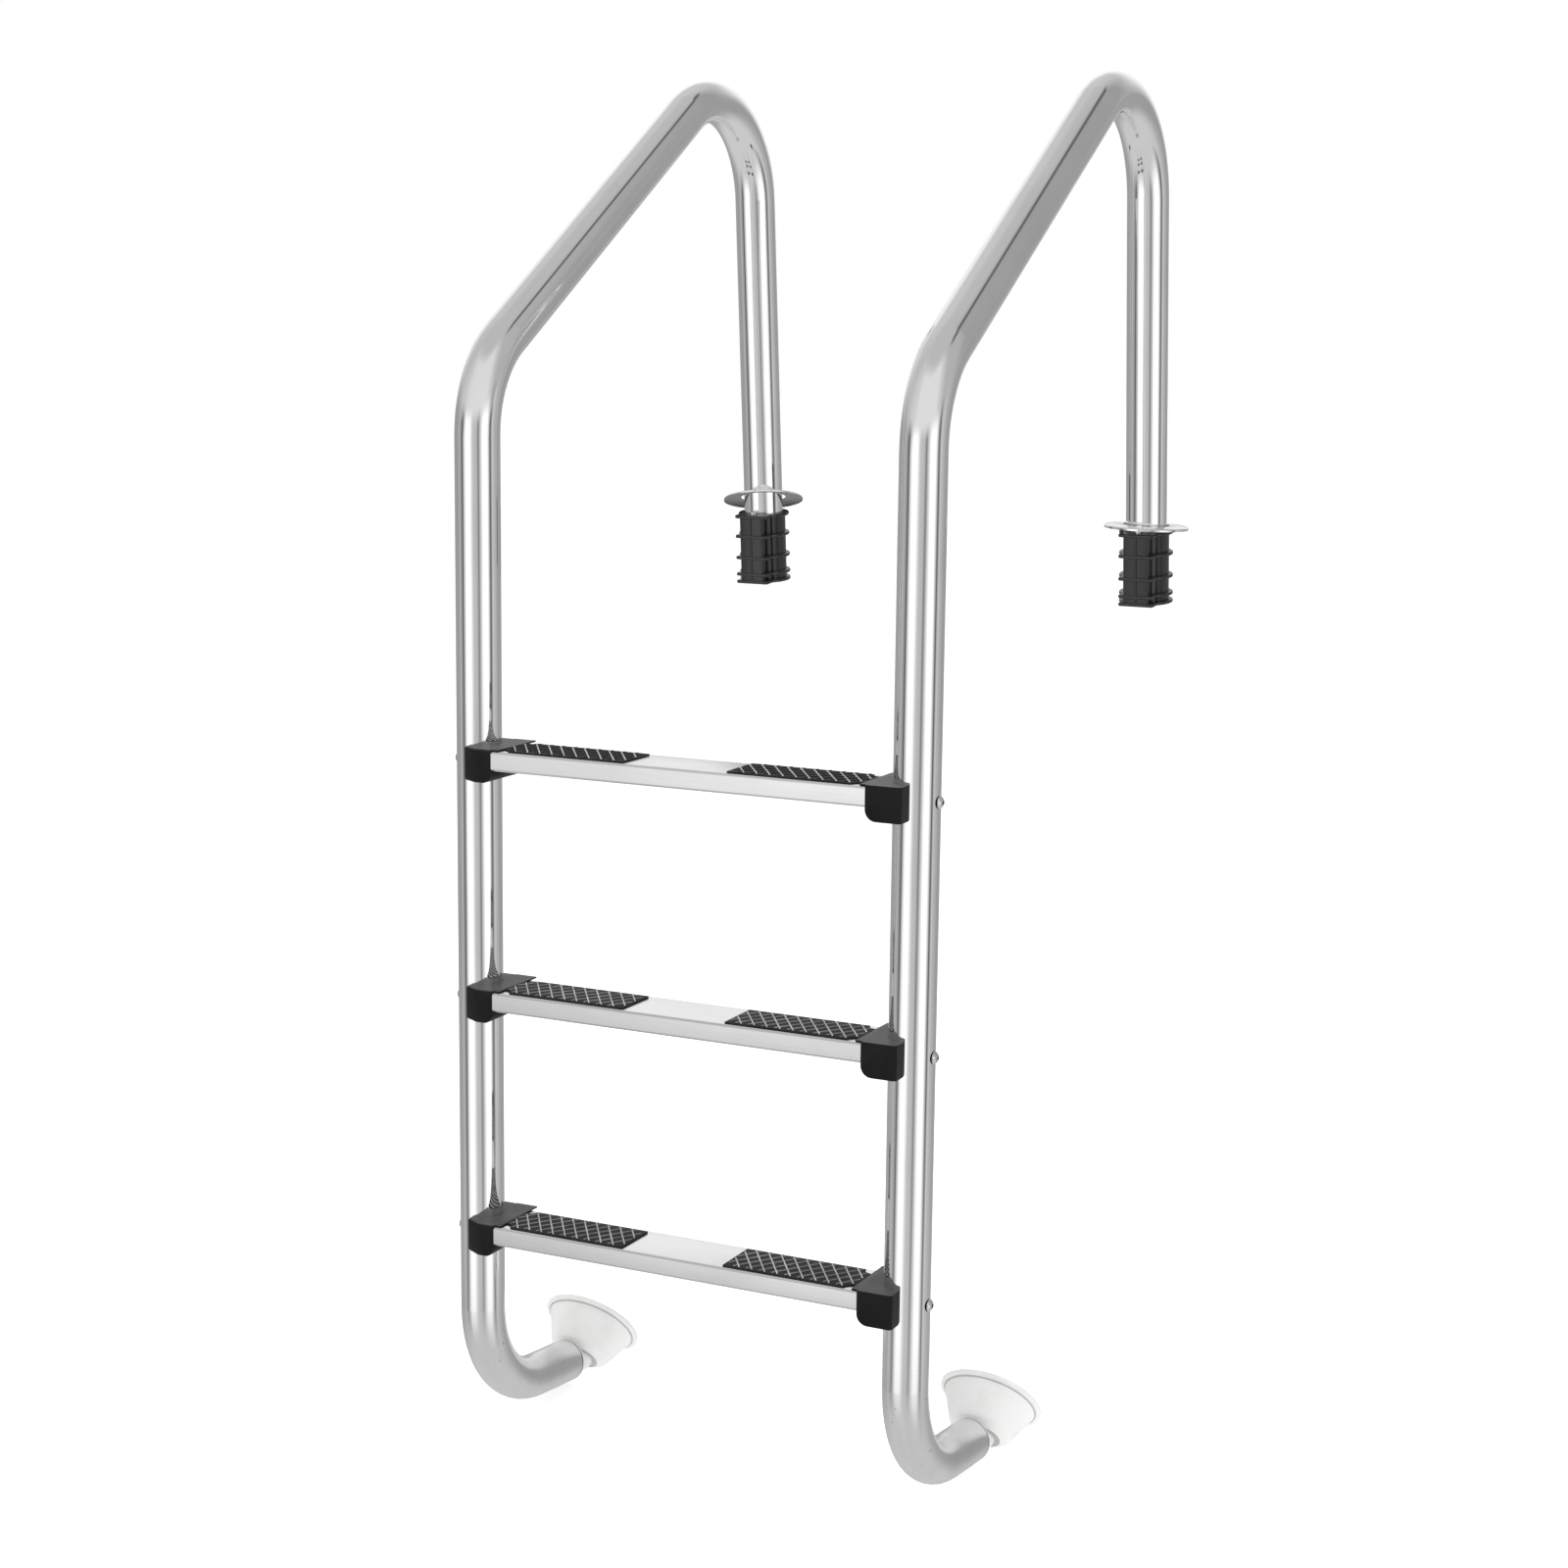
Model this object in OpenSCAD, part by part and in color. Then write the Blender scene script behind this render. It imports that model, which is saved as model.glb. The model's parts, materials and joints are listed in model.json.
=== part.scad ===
// Three-tread in-ground pool ladder with deck anchors, loose escutcheons and wall bumpers that
// swivel on balls.
// Units are millimetres. The origin lies between the two anchors at deck level.
// +X runs across the treads, +Y from the pool towards the deck, +Z up along the front legs.

/* [Part to draw] */
// Which sub-part to draw; "all" draws the whole ladder

/* [Rails] */
// Distance between the two rail centre lines
rail_spacing = 508; // [480:1:560]
// Outside diameter of the rail tube
tube_d = 48.3; // [42:0.1:50]
// Wall thickness of the rail tube
tube_wall = 1.5; // [1.2:0.1:3]
// Centre-line radius of every bend in the rails
bend_r = 120; // [100:1:130]
// From the front leg to the back leg, measured at deck level
reach = 678; // [560:1:760]
// Height above the deck at which the front leg turns into the sloping hand rail
shoulder_z = 187; // [150:1:240]
// Height above the deck of the corner at the top of the hand rail
crown_z = 581; // [540:1:680]
// Angle by which the back legs spread away from the front legs
leg_splay = 4.9; // [0:0.1:8]
// Distance from the lowest tread bolt down to the start of the bottom bend
foot_drop = 90; // [80:1:160]
// Angle turned by the bottom bend
foot_bend = 84; // [75:1:90]
// Straight tube left after the bottom bend
foot_straight = 72; // [50:1:90]

/* [Treads] */
// Depth of the top tread bolt below the deck
first_tread_drop = 222; // [180:1:300]
// Rise from one tread to the next
tread_pitch = 260; // [230:1:300]
// Front-to-back size of a tread
tread_depth = 70; // [60:1:76]
// Height of the folded tread channel
tread_height = 21; // [18:0.5:26]
// Sheet thickness of the tread
tread_sheet = 1.5; // [1:0.1:2.5]
// Width of the lips turned in under the tread
tread_lip = 9; // [6:1:16]

/* [Tread pads] */
// Length of each rubber pad along the tread
pad_length = 148; // [110:1:150]
// Front-to-back size of each rubber pad
pad_depth = 58; // [46:1:60]
// Thickness of the pad under its ribs
pad_base = 1.8; // [1.5:0.1:3]
// Height of the raised ribs
rib_height = 0.9; // [0.5:0.1:1.5]
// Spacing of the ribs along the tread
rib_pitch = 14.7; // [10:0.1:20]
// Angle between the ribs and the front-to-back direction
rib_angle = 34; // [25:1:45]

/* [Tread brackets] */
// Size of a bracket from the rail centre line inwards
bracket_width = 38.5; // [36:0.5:46]
// Front-to-back size of a bracket
bracket_depth = 81; // [78:1:90]
// Height of a bracket
bracket_height = 36.4; // [36:0.2:44]
// Width of the top plate that reaches over the tread, from the rail centre line
plate_width = 46; // [44:1:50]

/* [Deck anchors] */
// Height of an anchor socket
anchor_height = 86.5; // [78:0.5:100]
// Outside radius of the round socket
socket_r = 27.2; // [27:0.1:29]
// Radius of the horizontal ribs round the socket
anchor_rib_r = 32; // [30:0.5:36]
// Width of the box on the front that holds the wedge
wedge_box_width = 30; // [28:1:34]
// Distance from the leg centre line to the front of that box
wedge_box_reach = 38.5; // [38:0.5:42]

/* [Escutcheons] */
// Outside diameter of an escutcheon
escutcheon_d = 100; // [90:1:120]
// Diameter of the hole in an escutcheon
escutcheon_hole_d = 56; // [55:0.5:60]
// Height of an escutcheon
escutcheon_height = 5; // [5:0.5:12]
// Tilt at which the left escutcheon has jammed on its leg
left_tilt = 21; // [0:0.5:22]
// Tilt at which the right escutcheon sits on its anchor
right_tilt = 5; // [0:0.5:5]

/* [Wall bumpers] */
// Diameter of the ball in the bumper swivel
ball_d = 38; // [34:1:40]
// Distance from the tube end to the centre of the ball
ball_reach = 28; // [26:1:32]
// Outside diameter of the bumper rim
cup_d = 115; // [100:1:124]
// Distance from the ball centre to the wall face of the bumper
cup_reach = 47; // [42:1:50]
// Angle of the bumper's axis above the horizontal in the stored pose
cup_lift = 40; // [0:1:42]

/* [Hidden] */
$fn = 96;
side_gap = 0.1;       // gap between touching parts that do not move on each other
move_gap = 0.3;       // gap between parts that move past each other
run_gap = 0.08;       // radial gap of a shaft that turns in a hole

rail_x = rail_spacing / 2;
tube_r = tube_d / 2;
bore_r = tube_r - tube_wall;
anchor_floor = 4;
plate_t = 4;

// Corners of the rail centre line as [y, z], from the bumper end to the end in the anchor.
bolt_z = [for (i = [0:2]) -first_tread_drop - i * tread_pitch];
foot_start_z = bolt_z[2] - foot_drop;
foot_tangent = bend_r * tan(foot_bend / 2);
foot_dir = [sin(foot_bend), -cos(foot_bend)];
foot_corner = [-reach, foot_start_z - foot_tangent];
foot_end = foot_corner + foot_dir * (foot_tangent + foot_straight);
shoulder = [-reach, shoulder_z];
crown = [-crown_z * tan(leg_splay), crown_z];
leg_dir = [sin(leg_splay), -cos(leg_splay)];
leg_end = leg_dir * (anchor_height - anchor_floor - move_gap);
rail_path = [foot_end, foot_corner, shoulder, crown, leg_end];

// The tread is set back so that its front stands 1.5 mm inside the bracket's front.
tread_front_y = -bracket_depth / 2 + 1.5;
tread_top = bracket_height / 2 - 2;
tread_end = 28;       // from the rail centre line to the end of the tread
tread_fold_r = 3;

fastener_d = 6;
head_d = 14;
head_h = 4.6;
nut_flats = 10;
nut_t = 5;
nut_start = 33;       // from the rail centre line to the nut's first face

wedge_bolt_y = -29.2;
wedge_half = 10;
wedge_top = -16;
wedge_length = 52;
pocket_half = wedge_half + move_gap;
pocket_top_y = -33.2; // front of the wedge pocket at the top of the anchor
pocket_low_y = -36;   // front of the wedge pocket at the bottom
pocket_slope = atan((pocket_top_y - pocket_low_y) / (anchor_height - plate_t));

ball_r = ball_d / 2;
neck_r = ball_d / 4;
stud_r = 6;
plug_depth = 30;
plug_flange = 3;
ball_centre = foot_end + foot_dir * ball_reach;

// ---------- Shared shapes ----------

// Turns a drawing in the local XY plane into the world YZ plane.
module in_side_plane() {
  rotate([90, 0, 90])
    children();
}

// Unit vector from one [y, z] point to another.
function unit(a, b) = (b - a) / norm(b - a);

// Straight length that a bend of radius r uses up on each side of the corner b.
function bend_use(a, b, c, r) =
  let (turn = acos(unit(a, b) * unit(b, c))) r * tan(turn / 2);

function heading(a, b) = atan2(b[1] - a[1], b[0] - a[0]);

// Signed angle turned at the corner b, positive to the left.
function turn_at(a, b, c) =
  let (d = heading(b, c) - heading(a, b)) d > 180 ? d - 360 : d < -180 ? d + 360 : d;

// Hollow tube along the rail path. Each straight tube laps a little over the bends beside
// it, and the wall of a bend is slightly thinner on both faces so that the lap is clean.
module rail_tube() {
  last = len(rail_path) - 1;
  lap = 0.5;
  bend_thin = 0.03;
  in_side_plane() {
    for (i = [0 : last - 1]) {
      a = rail_path[i];
      b = rail_path[i + 1];
      from = i == 0 ? 0 : bend_use(rail_path[i - 1], a, b, bend_r) - lap;
      to = i == last - 1 ? 0 : bend_use(a, b, rail_path[i + 2], bend_r) - lap;
      translate([a[0], a[1], 0])
        rotate([0, 0, heading(a, b)])
          rotate([0, 90, 0])
            translate([0, 0, from])
              difference() {
                cylinder(h = norm(b - a) - from - to, d = tube_d);
                translate([0, 0, -1])
                  cylinder(h = norm(b - a) - from - to + 2, r = bore_r);
              }
    }
    for (i = [1 : last - 1]) {
      a = rail_path[i - 1];
      b = rail_path[i];
      turn = turn_at(a, b, rail_path[i + 1]);
      side = turn > 0 ? 1 : -1;
      start = b - unit(a, b) * bend_use(a, b, rail_path[i + 1], bend_r);
      in_angle = heading(a, b) + 90 * side;
      centre = start + bend_r * [cos(in_angle), sin(in_angle)];
      translate([centre[0], centre[1], 0])
        rotate([0, 0, in_angle + 180 + min(turn, 0)])
          rotate_extrude(angle = abs(turn))
            translate([bend_r, 0])
              difference() {
                circle(r = tube_r - bend_thin);
                circle(r = bore_r + bend_thin);
              }
    }
  }
}

// Rectangle with rounded corners, centred on the origin.
module round_rect(w, h, r) {
  square([w - 2 * r, h], center = true);
  square([w, h - 2 * r], center = true);
  for (x = [-1, 1], y = [-1, 1])
    translate([x * (w / 2 - r), y * (h / 2 - r)])
      circle(r);
}

// Places a child drawn on one rail at the left (-1) or right (1) rail.
module at_rail(side) {
  translate([side * rail_x, 0, 0])
    children();
}

// Mirrors a child drawn for the right-hand side when side is -1.
module handed(side) {
  if (side < 0)
    mirror([1, 0, 0])
      children();
  else
    children();
}

// Local frame on a back leg: origin at deck level, +Z up the leg.
module on_leg(side) {
  at_rail(side)
    rotate([leg_splay, 0, 0])
      children();
}

// Local frame at a tube end: origin at the ball centre, +Z out of the tube.
module at_ball(side) {
  translate([side * rail_x, ball_centre[0], ball_centre[1]])
    rotate([foot_bend - 180, 0, 0])
      children();
}

// Cylinder along X between two X positions at height z on the front leg.
module cross_hole(x0, x1, z, r) {
  translate([x0, -reach, z])
    rotate([0, 90, 0])
      cylinder(h = x1 - x0, r = r);
}

// ---------- Rails ----------

module rail(side) {
  color([0.80, 0.81, 0.83])
    difference() {
      at_rail(side)
        rail_tube();
      for (z = bolt_z)
        cross_hole(side * rail_x - tube_d, side * rail_x + tube_d, z, fastener_d / 2 + side_gap);
    }
}

module left_rail() { rail(-1); }

module right_rail() { rail(1); }

// ---------- Treads ----------

// Folded channel in the YZ plane: open below, with lips turned in. Grow widens the sheet.
module tread_section(grow = 0) {
  inner_r = tread_fold_r - tread_sheet;
  translate([tread_front_y + tread_depth / 2, tread_top - tread_height / 2])
    difference() {
      round_rect(tread_depth + 2 * grow, tread_height + 2 * grow, tread_fold_r + grow);
      round_rect(tread_depth - 2 * tread_sheet - 2 * grow,
                 tread_height - 2 * tread_sheet - 2 * grow, inner_r - grow);
      translate([-tread_depth / 2 + tread_lip + grow, -tread_height])
        square([tread_depth - 2 * tread_lip - 2 * grow, tread_height]);
    }
}

module tread(row) {
  half = rail_x - tread_end;
  color([0.82, 0.83, 0.84])
    translate([-half, -reach, bolt_z[row]])
      in_side_plane()
        linear_extrude(2 * half)
          tread_section();
}

module top_tread() { tread(0); }

module middle_tread() { tread(1); }

module bottom_tread() { tread(2); }

// ---------- Tread pads ----------

// Pad outline with its tongue towards +X, starting at the tongue's end. The two notches
// beside the tongue clear the bracket's top plate.
module pad_outline() {
  notch_r = 10;
  difference() {
    translate([-pad_length, -pad_depth / 2])
      square([pad_length, pad_depth]);
    for (y = [-1, 1])
      translate([0, y * pad_depth / 2])
        circle(notch_r);
  }
}

// Border inside which the ribs are raised.
module rib_field() {
  inset = 2;
  notch_r = 12;
  difference() {
    translate([-pad_length + inset, -pad_depth / 2 + inset])
      square([pad_length - 2 * inset, pad_depth - 2 * inset]);
    for (y = [-1, 1])
      translate([0, y * pad_depth / 2])
        circle(notch_r);
  }
}

module rib_lines() {
  rib_width = 1.3;
  reach_out = pad_depth / cos(rib_angle);
  lines = ceil((pad_length + pad_depth) / rib_pitch);
  for (way = [-1, 1], i = [0 : lines])
    translate([-pad_length - pad_depth / 2 + rib_pitch * i, 0])
      rotate(way * rib_angle)
        square([rib_width, reach_out], center = true);
}

module pad(row, side) {
  pad_y = tread_front_y + 4 + pad_depth / 2;
  color([0.14, 0.14, 0.15])
    handed(side)
      translate([rail_x - plate_width - move_gap, -reach + pad_y,
                 bolt_z[row] + tread_top + side_gap]) {
        linear_extrude(pad_base)
          pad_outline();
        linear_extrude(pad_base + rib_height)
          intersection() {
            rib_field();
            rib_lines();
          }
      }
}

module top_left_pad() { pad(0, -1); }

module top_right_pad() { pad(0, 1); }

module middle_left_pad() { pad(1, -1); }

module middle_right_pad() { pad(1, 1); }

module bottom_left_pad() { pad(2, -1); }

module bottom_right_pad() { pad(2, 1); }

// ---------- Tread brackets ----------

// Plan of a bracket, with X running inwards from the rail centre line. The corner beside
// the rail is bevelled on one side and rounded on the other.
module bracket_plan(bevel_side) {
  bevel_x = 18;
  bevel_y = 10;
  corner = 4;
  half = bracket_depth / 2;
  difference() {
    translate([0, -half])
      square([bracket_width, bracket_depth]);
    scale([1, bevel_side]) {
      polygon([[-1, half + 1], [-1, half - bevel_y], [0, half - bevel_y],
               [bevel_x, half], [bevel_x, half + 1]]);
    }
    scale([1, -bevel_side])
      difference() {
        translate([-corner, half - corner])
          square([2 * corner, 2 * corner]);
        translate([corner, half - corner])
          circle(corner);
      }
  }
}

// Front view of a bracket: the lower inner corner is well rounded.
module bracket_front() {
  low_r = 12;
  top_r = 2;
  difference() {
    translate([0, -bracket_height / 2])
      square([bracket_width, bracket_height]);
    translate([bracket_width - low_r, -bracket_height / 2 + low_r])
      difference() {
        translate([0, -low_r - 1])
          square([low_r + 1, low_r + 1]);
        circle(low_r);
      }
  }
}

// Bracket drawn at the right rail; bevel_side is 1 for a bevelled back corner.
module bracket_shape(bevel_side) {
  shell = tube_r + side_gap;
  translate([rail_x, -reach, 0])
    mirror([1, 0, 0])
      difference() {
        union() {
          intersection() {
            translate([0, 0, -bracket_height / 2])
              linear_extrude(bracket_height)
                bracket_plan(bevel_side);
            translate([0, bracket_depth, 0])
              rotate([90, 0, 0])
                linear_extrude(2 * bracket_depth)
                  bracket_front();
          }
          translate([bracket_width / 2, -bracket_depth / 2 + 3, tread_top + side_gap])
            cube([plate_width - bracket_width / 2, bracket_depth - 3,
                  bracket_height / 2 - tread_top - side_gap]);
        }
        translate([0, 0, -bracket_height])
          cylinder(h = 2 * bracket_height, r = shell);
        translate([tread_end - side_gap, 0, 0])
          in_side_plane()
            linear_extrude(bracket_width)
              tread_section(side_gap);
        rotate([0, 90, 0])
          cylinder(h = bracket_width + 1, r = fastener_d / 2 + side_gap);
        translate([nut_start - side_gap, 0, 0])
          rotate([0, 90, 0])
            cylinder(h = bracket_width, r = (nut_flats / 2 + side_gap) / cos(30), $fn = 6);
      }
}

module bracket(row, side) {
  color([0.11, 0.11, 0.12])
    translate([0, 0, bolt_z[row]])
      handed(side)
        bracket_shape(side);
}

module top_left_bracket() { bracket(0, -1); }

module top_right_bracket() { bracket(0, 1); }

module middle_left_bracket() { bracket(1, -1); }

module middle_right_bracket() { bracket(1, 1); }

module bottom_left_bracket() { bracket(2, -1); }

module bottom_right_bracket() { bracket(2, 1); }

// ---------- Tread fasteners ----------

// Domed screw along -X, with the seat of its head at the origin.
module dome_screw(shank) {
  dome_r = (head_d * head_d / 4 + head_h * head_h) / (2 * head_h);
  socket_depth = 2.4;
  socket_flats = 4;
  difference() {
    rotate([0, 90, 0])
      intersection() {
        translate([0, 0, head_h - dome_r])
          sphere(dome_r);
        cylinder(h = head_h, d = head_d);
      }
    translate([head_h - socket_depth, 0, 0])
      rotate([0, 90, 0])
        cylinder(h = socket_depth + 1, r = socket_flats / 2 / cos(30), $fn = 6);
  }
  translate([-shank, 0, 0])
    rotate([0, 90, 0])
      cylinder(h = shank + 1, d = fastener_d);
}

// Three screws that hold the brackets of one rail.
module tread_screws(side) {
  shank = tube_r + side_gap + nut_start + nut_t + 1;
  color([0.72, 0.73, 0.75])
    for (z = bolt_z)
      handed(side)
        translate([rail_x + tube_r + side_gap, -reach, z])
          dome_screw(shank);
}

module left_tread_screws() { tread_screws(-1); }

module right_tread_screws() { tread_screws(1); }

// Three nuts held in the brackets of one rail.
module tread_nuts(side) {
  color([0.62, 0.63, 0.65])
    for (z = bolt_z)
      handed(side)
        translate([rail_x - nut_start - nut_t, -reach, z])
          rotate([0, 90, 0])
            difference() {
              cylinder(h = nut_t, r = nut_flats / 2 / cos(30), $fn = 6);
              translate([0, 0, -1])
                cylinder(h = nut_t + 2, r = fastener_d / 2 + run_gap);
            }
}

module left_tread_nuts() { tread_nuts(-1); }

module right_tread_nuts() { tread_nuts(1); }

// ---------- Deck anchors ----------

// Outline of one horizontal anchor rib: round behind, square with soft corners in front.
module anchor_rib_plan() {
  front = -wedge_box_reach - 1.5;
  circle(anchor_rib_r);
  translate([0, front / 2])
    round_rect(wedge_box_width + 14, -front, 4);
}

// Space taken by the wedge and its sliding clearance, open at the bottom.
module wedge_pocket() {
  translate([-pocket_half, 0, 0])
    rotate([90, 0, 90])
      linear_extrude(2 * pocket_half)
        polygon([[0, -plate_t], [pocket_top_y, -plate_t], [pocket_low_y, -anchor_height],
                 [pocket_low_y, -anchor_height - 1], [0, -anchor_height - 1]]);
}

module anchor(side) {
  rib_drops = [0, 25, 52, 73, anchor_height - plate_t];
  ridge = 3;
  color([0.12, 0.12, 0.13])
    on_leg(side)
      difference() {
        union() {
          translate([0, 0, -anchor_height])
            cylinder(h = anchor_height, r = socket_r);
          translate([-wedge_box_width / 2, -wedge_box_reach, -anchor_height])
            cube([wedge_box_width, wedge_box_reach, anchor_height]);
          for (x = [-1, 1])
            translate([x * 19.5 - ridge / 2, -20, -anchor_height])
              cube([ridge, 12, anchor_height]);
          translate([-1.25, -wedge_box_reach - 1, -anchor_height])
            cube([2.5, 4, anchor_height]);
          for (drop = rib_drops)
            translate([0, 0, -drop - plate_t])
              linear_extrude(plate_t)
                anchor_rib_plan();
        }
        translate([0, 0, -anchor_height + anchor_floor])
          cylinder(h = anchor_height, r = tube_r + move_gap);
        difference() {
          wedge_pocket();
          translate([0, 0, -anchor_height - 2])
            cylinder(h = anchor_floor + 2, r = socket_r - 6);
        }
        translate([0, wedge_bolt_y, -plate_t - 1])
          cylinder(h = plate_t + 2, r = fastener_d / 2 + run_gap);
      }
}

module left_anchor() { anchor(-1); }

module right_anchor() { anchor(1); }

// Wedge that is drawn up between the leg and the front of the anchor.
module wedge(side) {
  top_y = pocket_top_y + move_gap + (plate_t + wedge_top) * tan(pocket_slope);
  low_y = top_y - wedge_length * tan(pocket_slope);
  color([0.55, 0.56, 0.58])
    on_leg(side)
      difference() {
        translate([-wedge_half, 0, 0])
          rotate([90, 0, 90])
            linear_extrude(2 * wedge_half)
              polygon([[-18, wedge_top], [top_y, wedge_top],
                       [low_y, wedge_top - wedge_length], [-18, wedge_top - wedge_length]]);
        translate([0, 0, -anchor_height])
          cylinder(h = anchor_height, r = tube_r + move_gap);
        translate([0, wedge_bolt_y, -anchor_height])
          cylinder(h = anchor_height, r = fastener_d / 2 + run_gap);
      }
}

module left_wedge() { wedge(-1); }

module right_wedge() { wedge(1); }

// Screw that turns in the anchor's top plate and draws the wedge up.
module wedge_screw(side) {
  color([0.72, 0.73, 0.75])
    on_leg(side)
      translate([0, wedge_bolt_y, side_gap])
        difference() {
          union() {
            cylinder(h = 3.6, r = 4.6);
            translate([0, 0, wedge_top - wedge_length - 4])
              cylinder(h = -wedge_top + wedge_length + 4 + 1, d = fastener_d);
          }
          translate([0, 0, 1.4])
            cylinder(h = 3, r = 2.5 / cos(30), $fn = 6);
        }
}

module left_wedge_screw() { wedge_screw(-1); }

module right_wedge_screw() { wedge_screw(1); }

// ---------- Escutcheons ----------

// Dished cover ring with its lower edge on the plane z = 0.
module escutcheon_ring() {
  sheet = 1.2;
  flat_r = 40;
  out_r = escutcheon_d / 2;
  in_r = escutcheon_hole_d / 2;
  h = escutcheon_height;
  rotate_extrude()
    polygon([[in_r, h - sheet], [flat_r, h - sheet], [out_r - 2.6, 2.2], [out_r - sheet, 1.2],
             [out_r - sheet, 0], [out_r, 0], [out_r, 2.4], [out_r - 1.4, 3.4],
             [flat_r + 0.4, h], [in_r, h]]);
}

// The tilt raises the edge that faces the pool; the heading turns that edge towards the right rail.
module escutcheon(side, tilt, heading, lift) {
  color([0.80, 0.81, 0.83])
    on_leg(side)
      translate([0, 0, lift])
        rotate([0, 0, heading])
          rotate([-tilt, 0, 0])
            translate([0, 0, -escutcheon_height / 2])
              escutcheon_ring();
}

module left_escutcheon() { escutcheon(-1, left_tilt, 25, 16.5); }

module right_escutcheon() { escutcheon(1, right_tilt, -18, escutcheon_height / 2 + 1.7); }

// ---------- Wall bumpers ----------

// Plug pressed into the tube end, with a bore in which the ball stud turns.
module end_plug(side) {
  color([0.93, 0.93, 0.92])
    at_ball(side)
      translate([0, 0, -ball_reach])
        difference() {
          union() {
            translate([0, 0, -plug_depth])
              cylinder(h = plug_depth + 1, r = bore_r - 1.5 * side_gap);
            translate([0, 0, side_gap])
              cylinder(h = plug_flange, r = tube_r - 0.6);
          }
          translate([0, 0, -plug_depth - 1])
            cylinder(h = plug_depth + plug_flange + 2, r = stud_r + run_gap);
        }
}

module left_end_plug() { end_plug(-1); }

module right_end_plug() { end_plug(1); }

// Ball on a stud; the collar behind the plug stops the stud from pulling out.
module ball_stud(side) {
  back = -ball_reach - plug_depth - move_gap;
  neck_start = -ball_reach + plug_flange + side_gap + move_gap;
  color([0.90, 0.90, 0.89])
    at_ball(side) {
      sphere(ball_r);
      translate([0, 0, neck_start])
        cylinder(h = -neck_start, r = neck_r);
      translate([0, 0, back - 1])
        cylinder(h = -back, r = stud_r);
      translate([0, 0, back - 4])
        cylinder(h = 4, r = 9);
    }
}

module left_ball_stud() { ball_stud(-1); }

module right_ball_stud() { ball_stud(1); }

// Rubber cup that swivels on the ball. Z runs from the ball centre to the wall face.
module cup_shape() {
  rim_r = cup_d / 2;
  face = cup_reach;
  difference() {
    rotate_extrude()
      polygon([[0, -1.6], [25, -1.6], [31, 2.2], [34.6, 4.6], [36.4, 7.6], [51.6, face - 6],
               [53, face - 5], [rim_r - 1, face - 4.6], [rim_r, face - 3.8], [rim_r, face - 0.6],
               [rim_r - 0.6, face], [rim_r - 9, face], [38, face - 18], [33, face - 21],
               [0, face - 21]]);
    sphere(ball_r + run_gap);
  }
}

module bumper_cup(side) {
  color([0.94, 0.94, 0.93])
    translate([side * rail_x, ball_centre[0], ball_centre[1]])
      rotate([cup_lift - 90, 0, 0])
        cup_shape();
}

module left_bumper_cup() { bumper_cup(-1); }

module right_bumper_cup() { bumper_cup(1); }

// ---------- Drawing ----------

left_anchor();
right_anchor();
left_wedge();
right_wedge();
left_wedge_screw();
right_wedge_screw();
left_escutcheon();
right_escutcheon();
left_rail();
right_rail();
top_tread();
middle_tread();
bottom_tread();
top_left_pad();
top_right_pad();
middle_left_pad();
middle_right_pad();
bottom_left_pad();
bottom_right_pad();
top_left_bracket();
top_right_bracket();
middle_left_bracket();
middle_right_bracket();
bottom_left_bracket();
bottom_right_bracket();
left_tread_screws();
right_tread_screws();
left_tread_nuts();
right_tread_nuts();
left_end_plug();
right_end_plug();
left_ball_stud();
right_ball_stud();
left_bumper_cup();
right_bumper_cup();
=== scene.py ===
"""Looks for a three-tread pool ladder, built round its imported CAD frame.

The rails, nuts, wedges, wedge screws, plugs and ball studs keep their CAD shape and get a finish.
The treads, pads, brackets, tread screws, anchors, cover rings and bumpers are built here with
their soft edges and stand for their CAD nodes. All sizes are metres in the frame of the CAD model.
"""

import json
import logging
import math
from dataclasses import dataclass
from enum import Enum
from typing import Any, Callable, Optional, Sequence, Union

import bmesh
import bpy
from mathutils import Matrix, Vector

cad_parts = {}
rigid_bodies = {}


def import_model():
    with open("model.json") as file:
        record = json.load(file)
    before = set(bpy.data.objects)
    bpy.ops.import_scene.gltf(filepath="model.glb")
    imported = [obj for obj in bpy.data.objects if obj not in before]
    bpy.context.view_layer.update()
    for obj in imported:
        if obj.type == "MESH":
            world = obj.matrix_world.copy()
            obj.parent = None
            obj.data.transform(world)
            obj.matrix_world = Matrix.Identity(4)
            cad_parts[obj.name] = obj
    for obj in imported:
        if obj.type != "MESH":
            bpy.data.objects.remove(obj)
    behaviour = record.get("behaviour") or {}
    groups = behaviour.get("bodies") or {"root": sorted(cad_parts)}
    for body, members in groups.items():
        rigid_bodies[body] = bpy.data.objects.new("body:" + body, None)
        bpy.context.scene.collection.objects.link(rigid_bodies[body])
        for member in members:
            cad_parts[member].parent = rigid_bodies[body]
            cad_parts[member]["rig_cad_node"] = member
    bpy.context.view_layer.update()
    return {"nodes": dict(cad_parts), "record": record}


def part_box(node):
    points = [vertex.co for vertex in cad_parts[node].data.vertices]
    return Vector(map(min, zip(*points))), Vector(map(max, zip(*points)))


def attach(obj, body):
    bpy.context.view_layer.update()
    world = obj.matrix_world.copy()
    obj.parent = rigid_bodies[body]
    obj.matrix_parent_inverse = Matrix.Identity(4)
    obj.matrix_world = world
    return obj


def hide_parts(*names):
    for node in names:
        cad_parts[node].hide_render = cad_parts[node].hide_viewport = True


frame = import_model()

LOG = logging.getLogger("pool_ladder")

Point = tuple[float, float]
Colour = tuple[float, float, float]
Settings = dict[str, Any]
Plug = Union["Socket", float, int, tuple]

NODES: dict[str, bpy.types.Object] = frame["nodes"]
BODY_OF: dict[str, str] = {
    node: body
    for body, members in frame["record"]["behaviour"]["bodies"].items()
    for node in members
}


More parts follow.
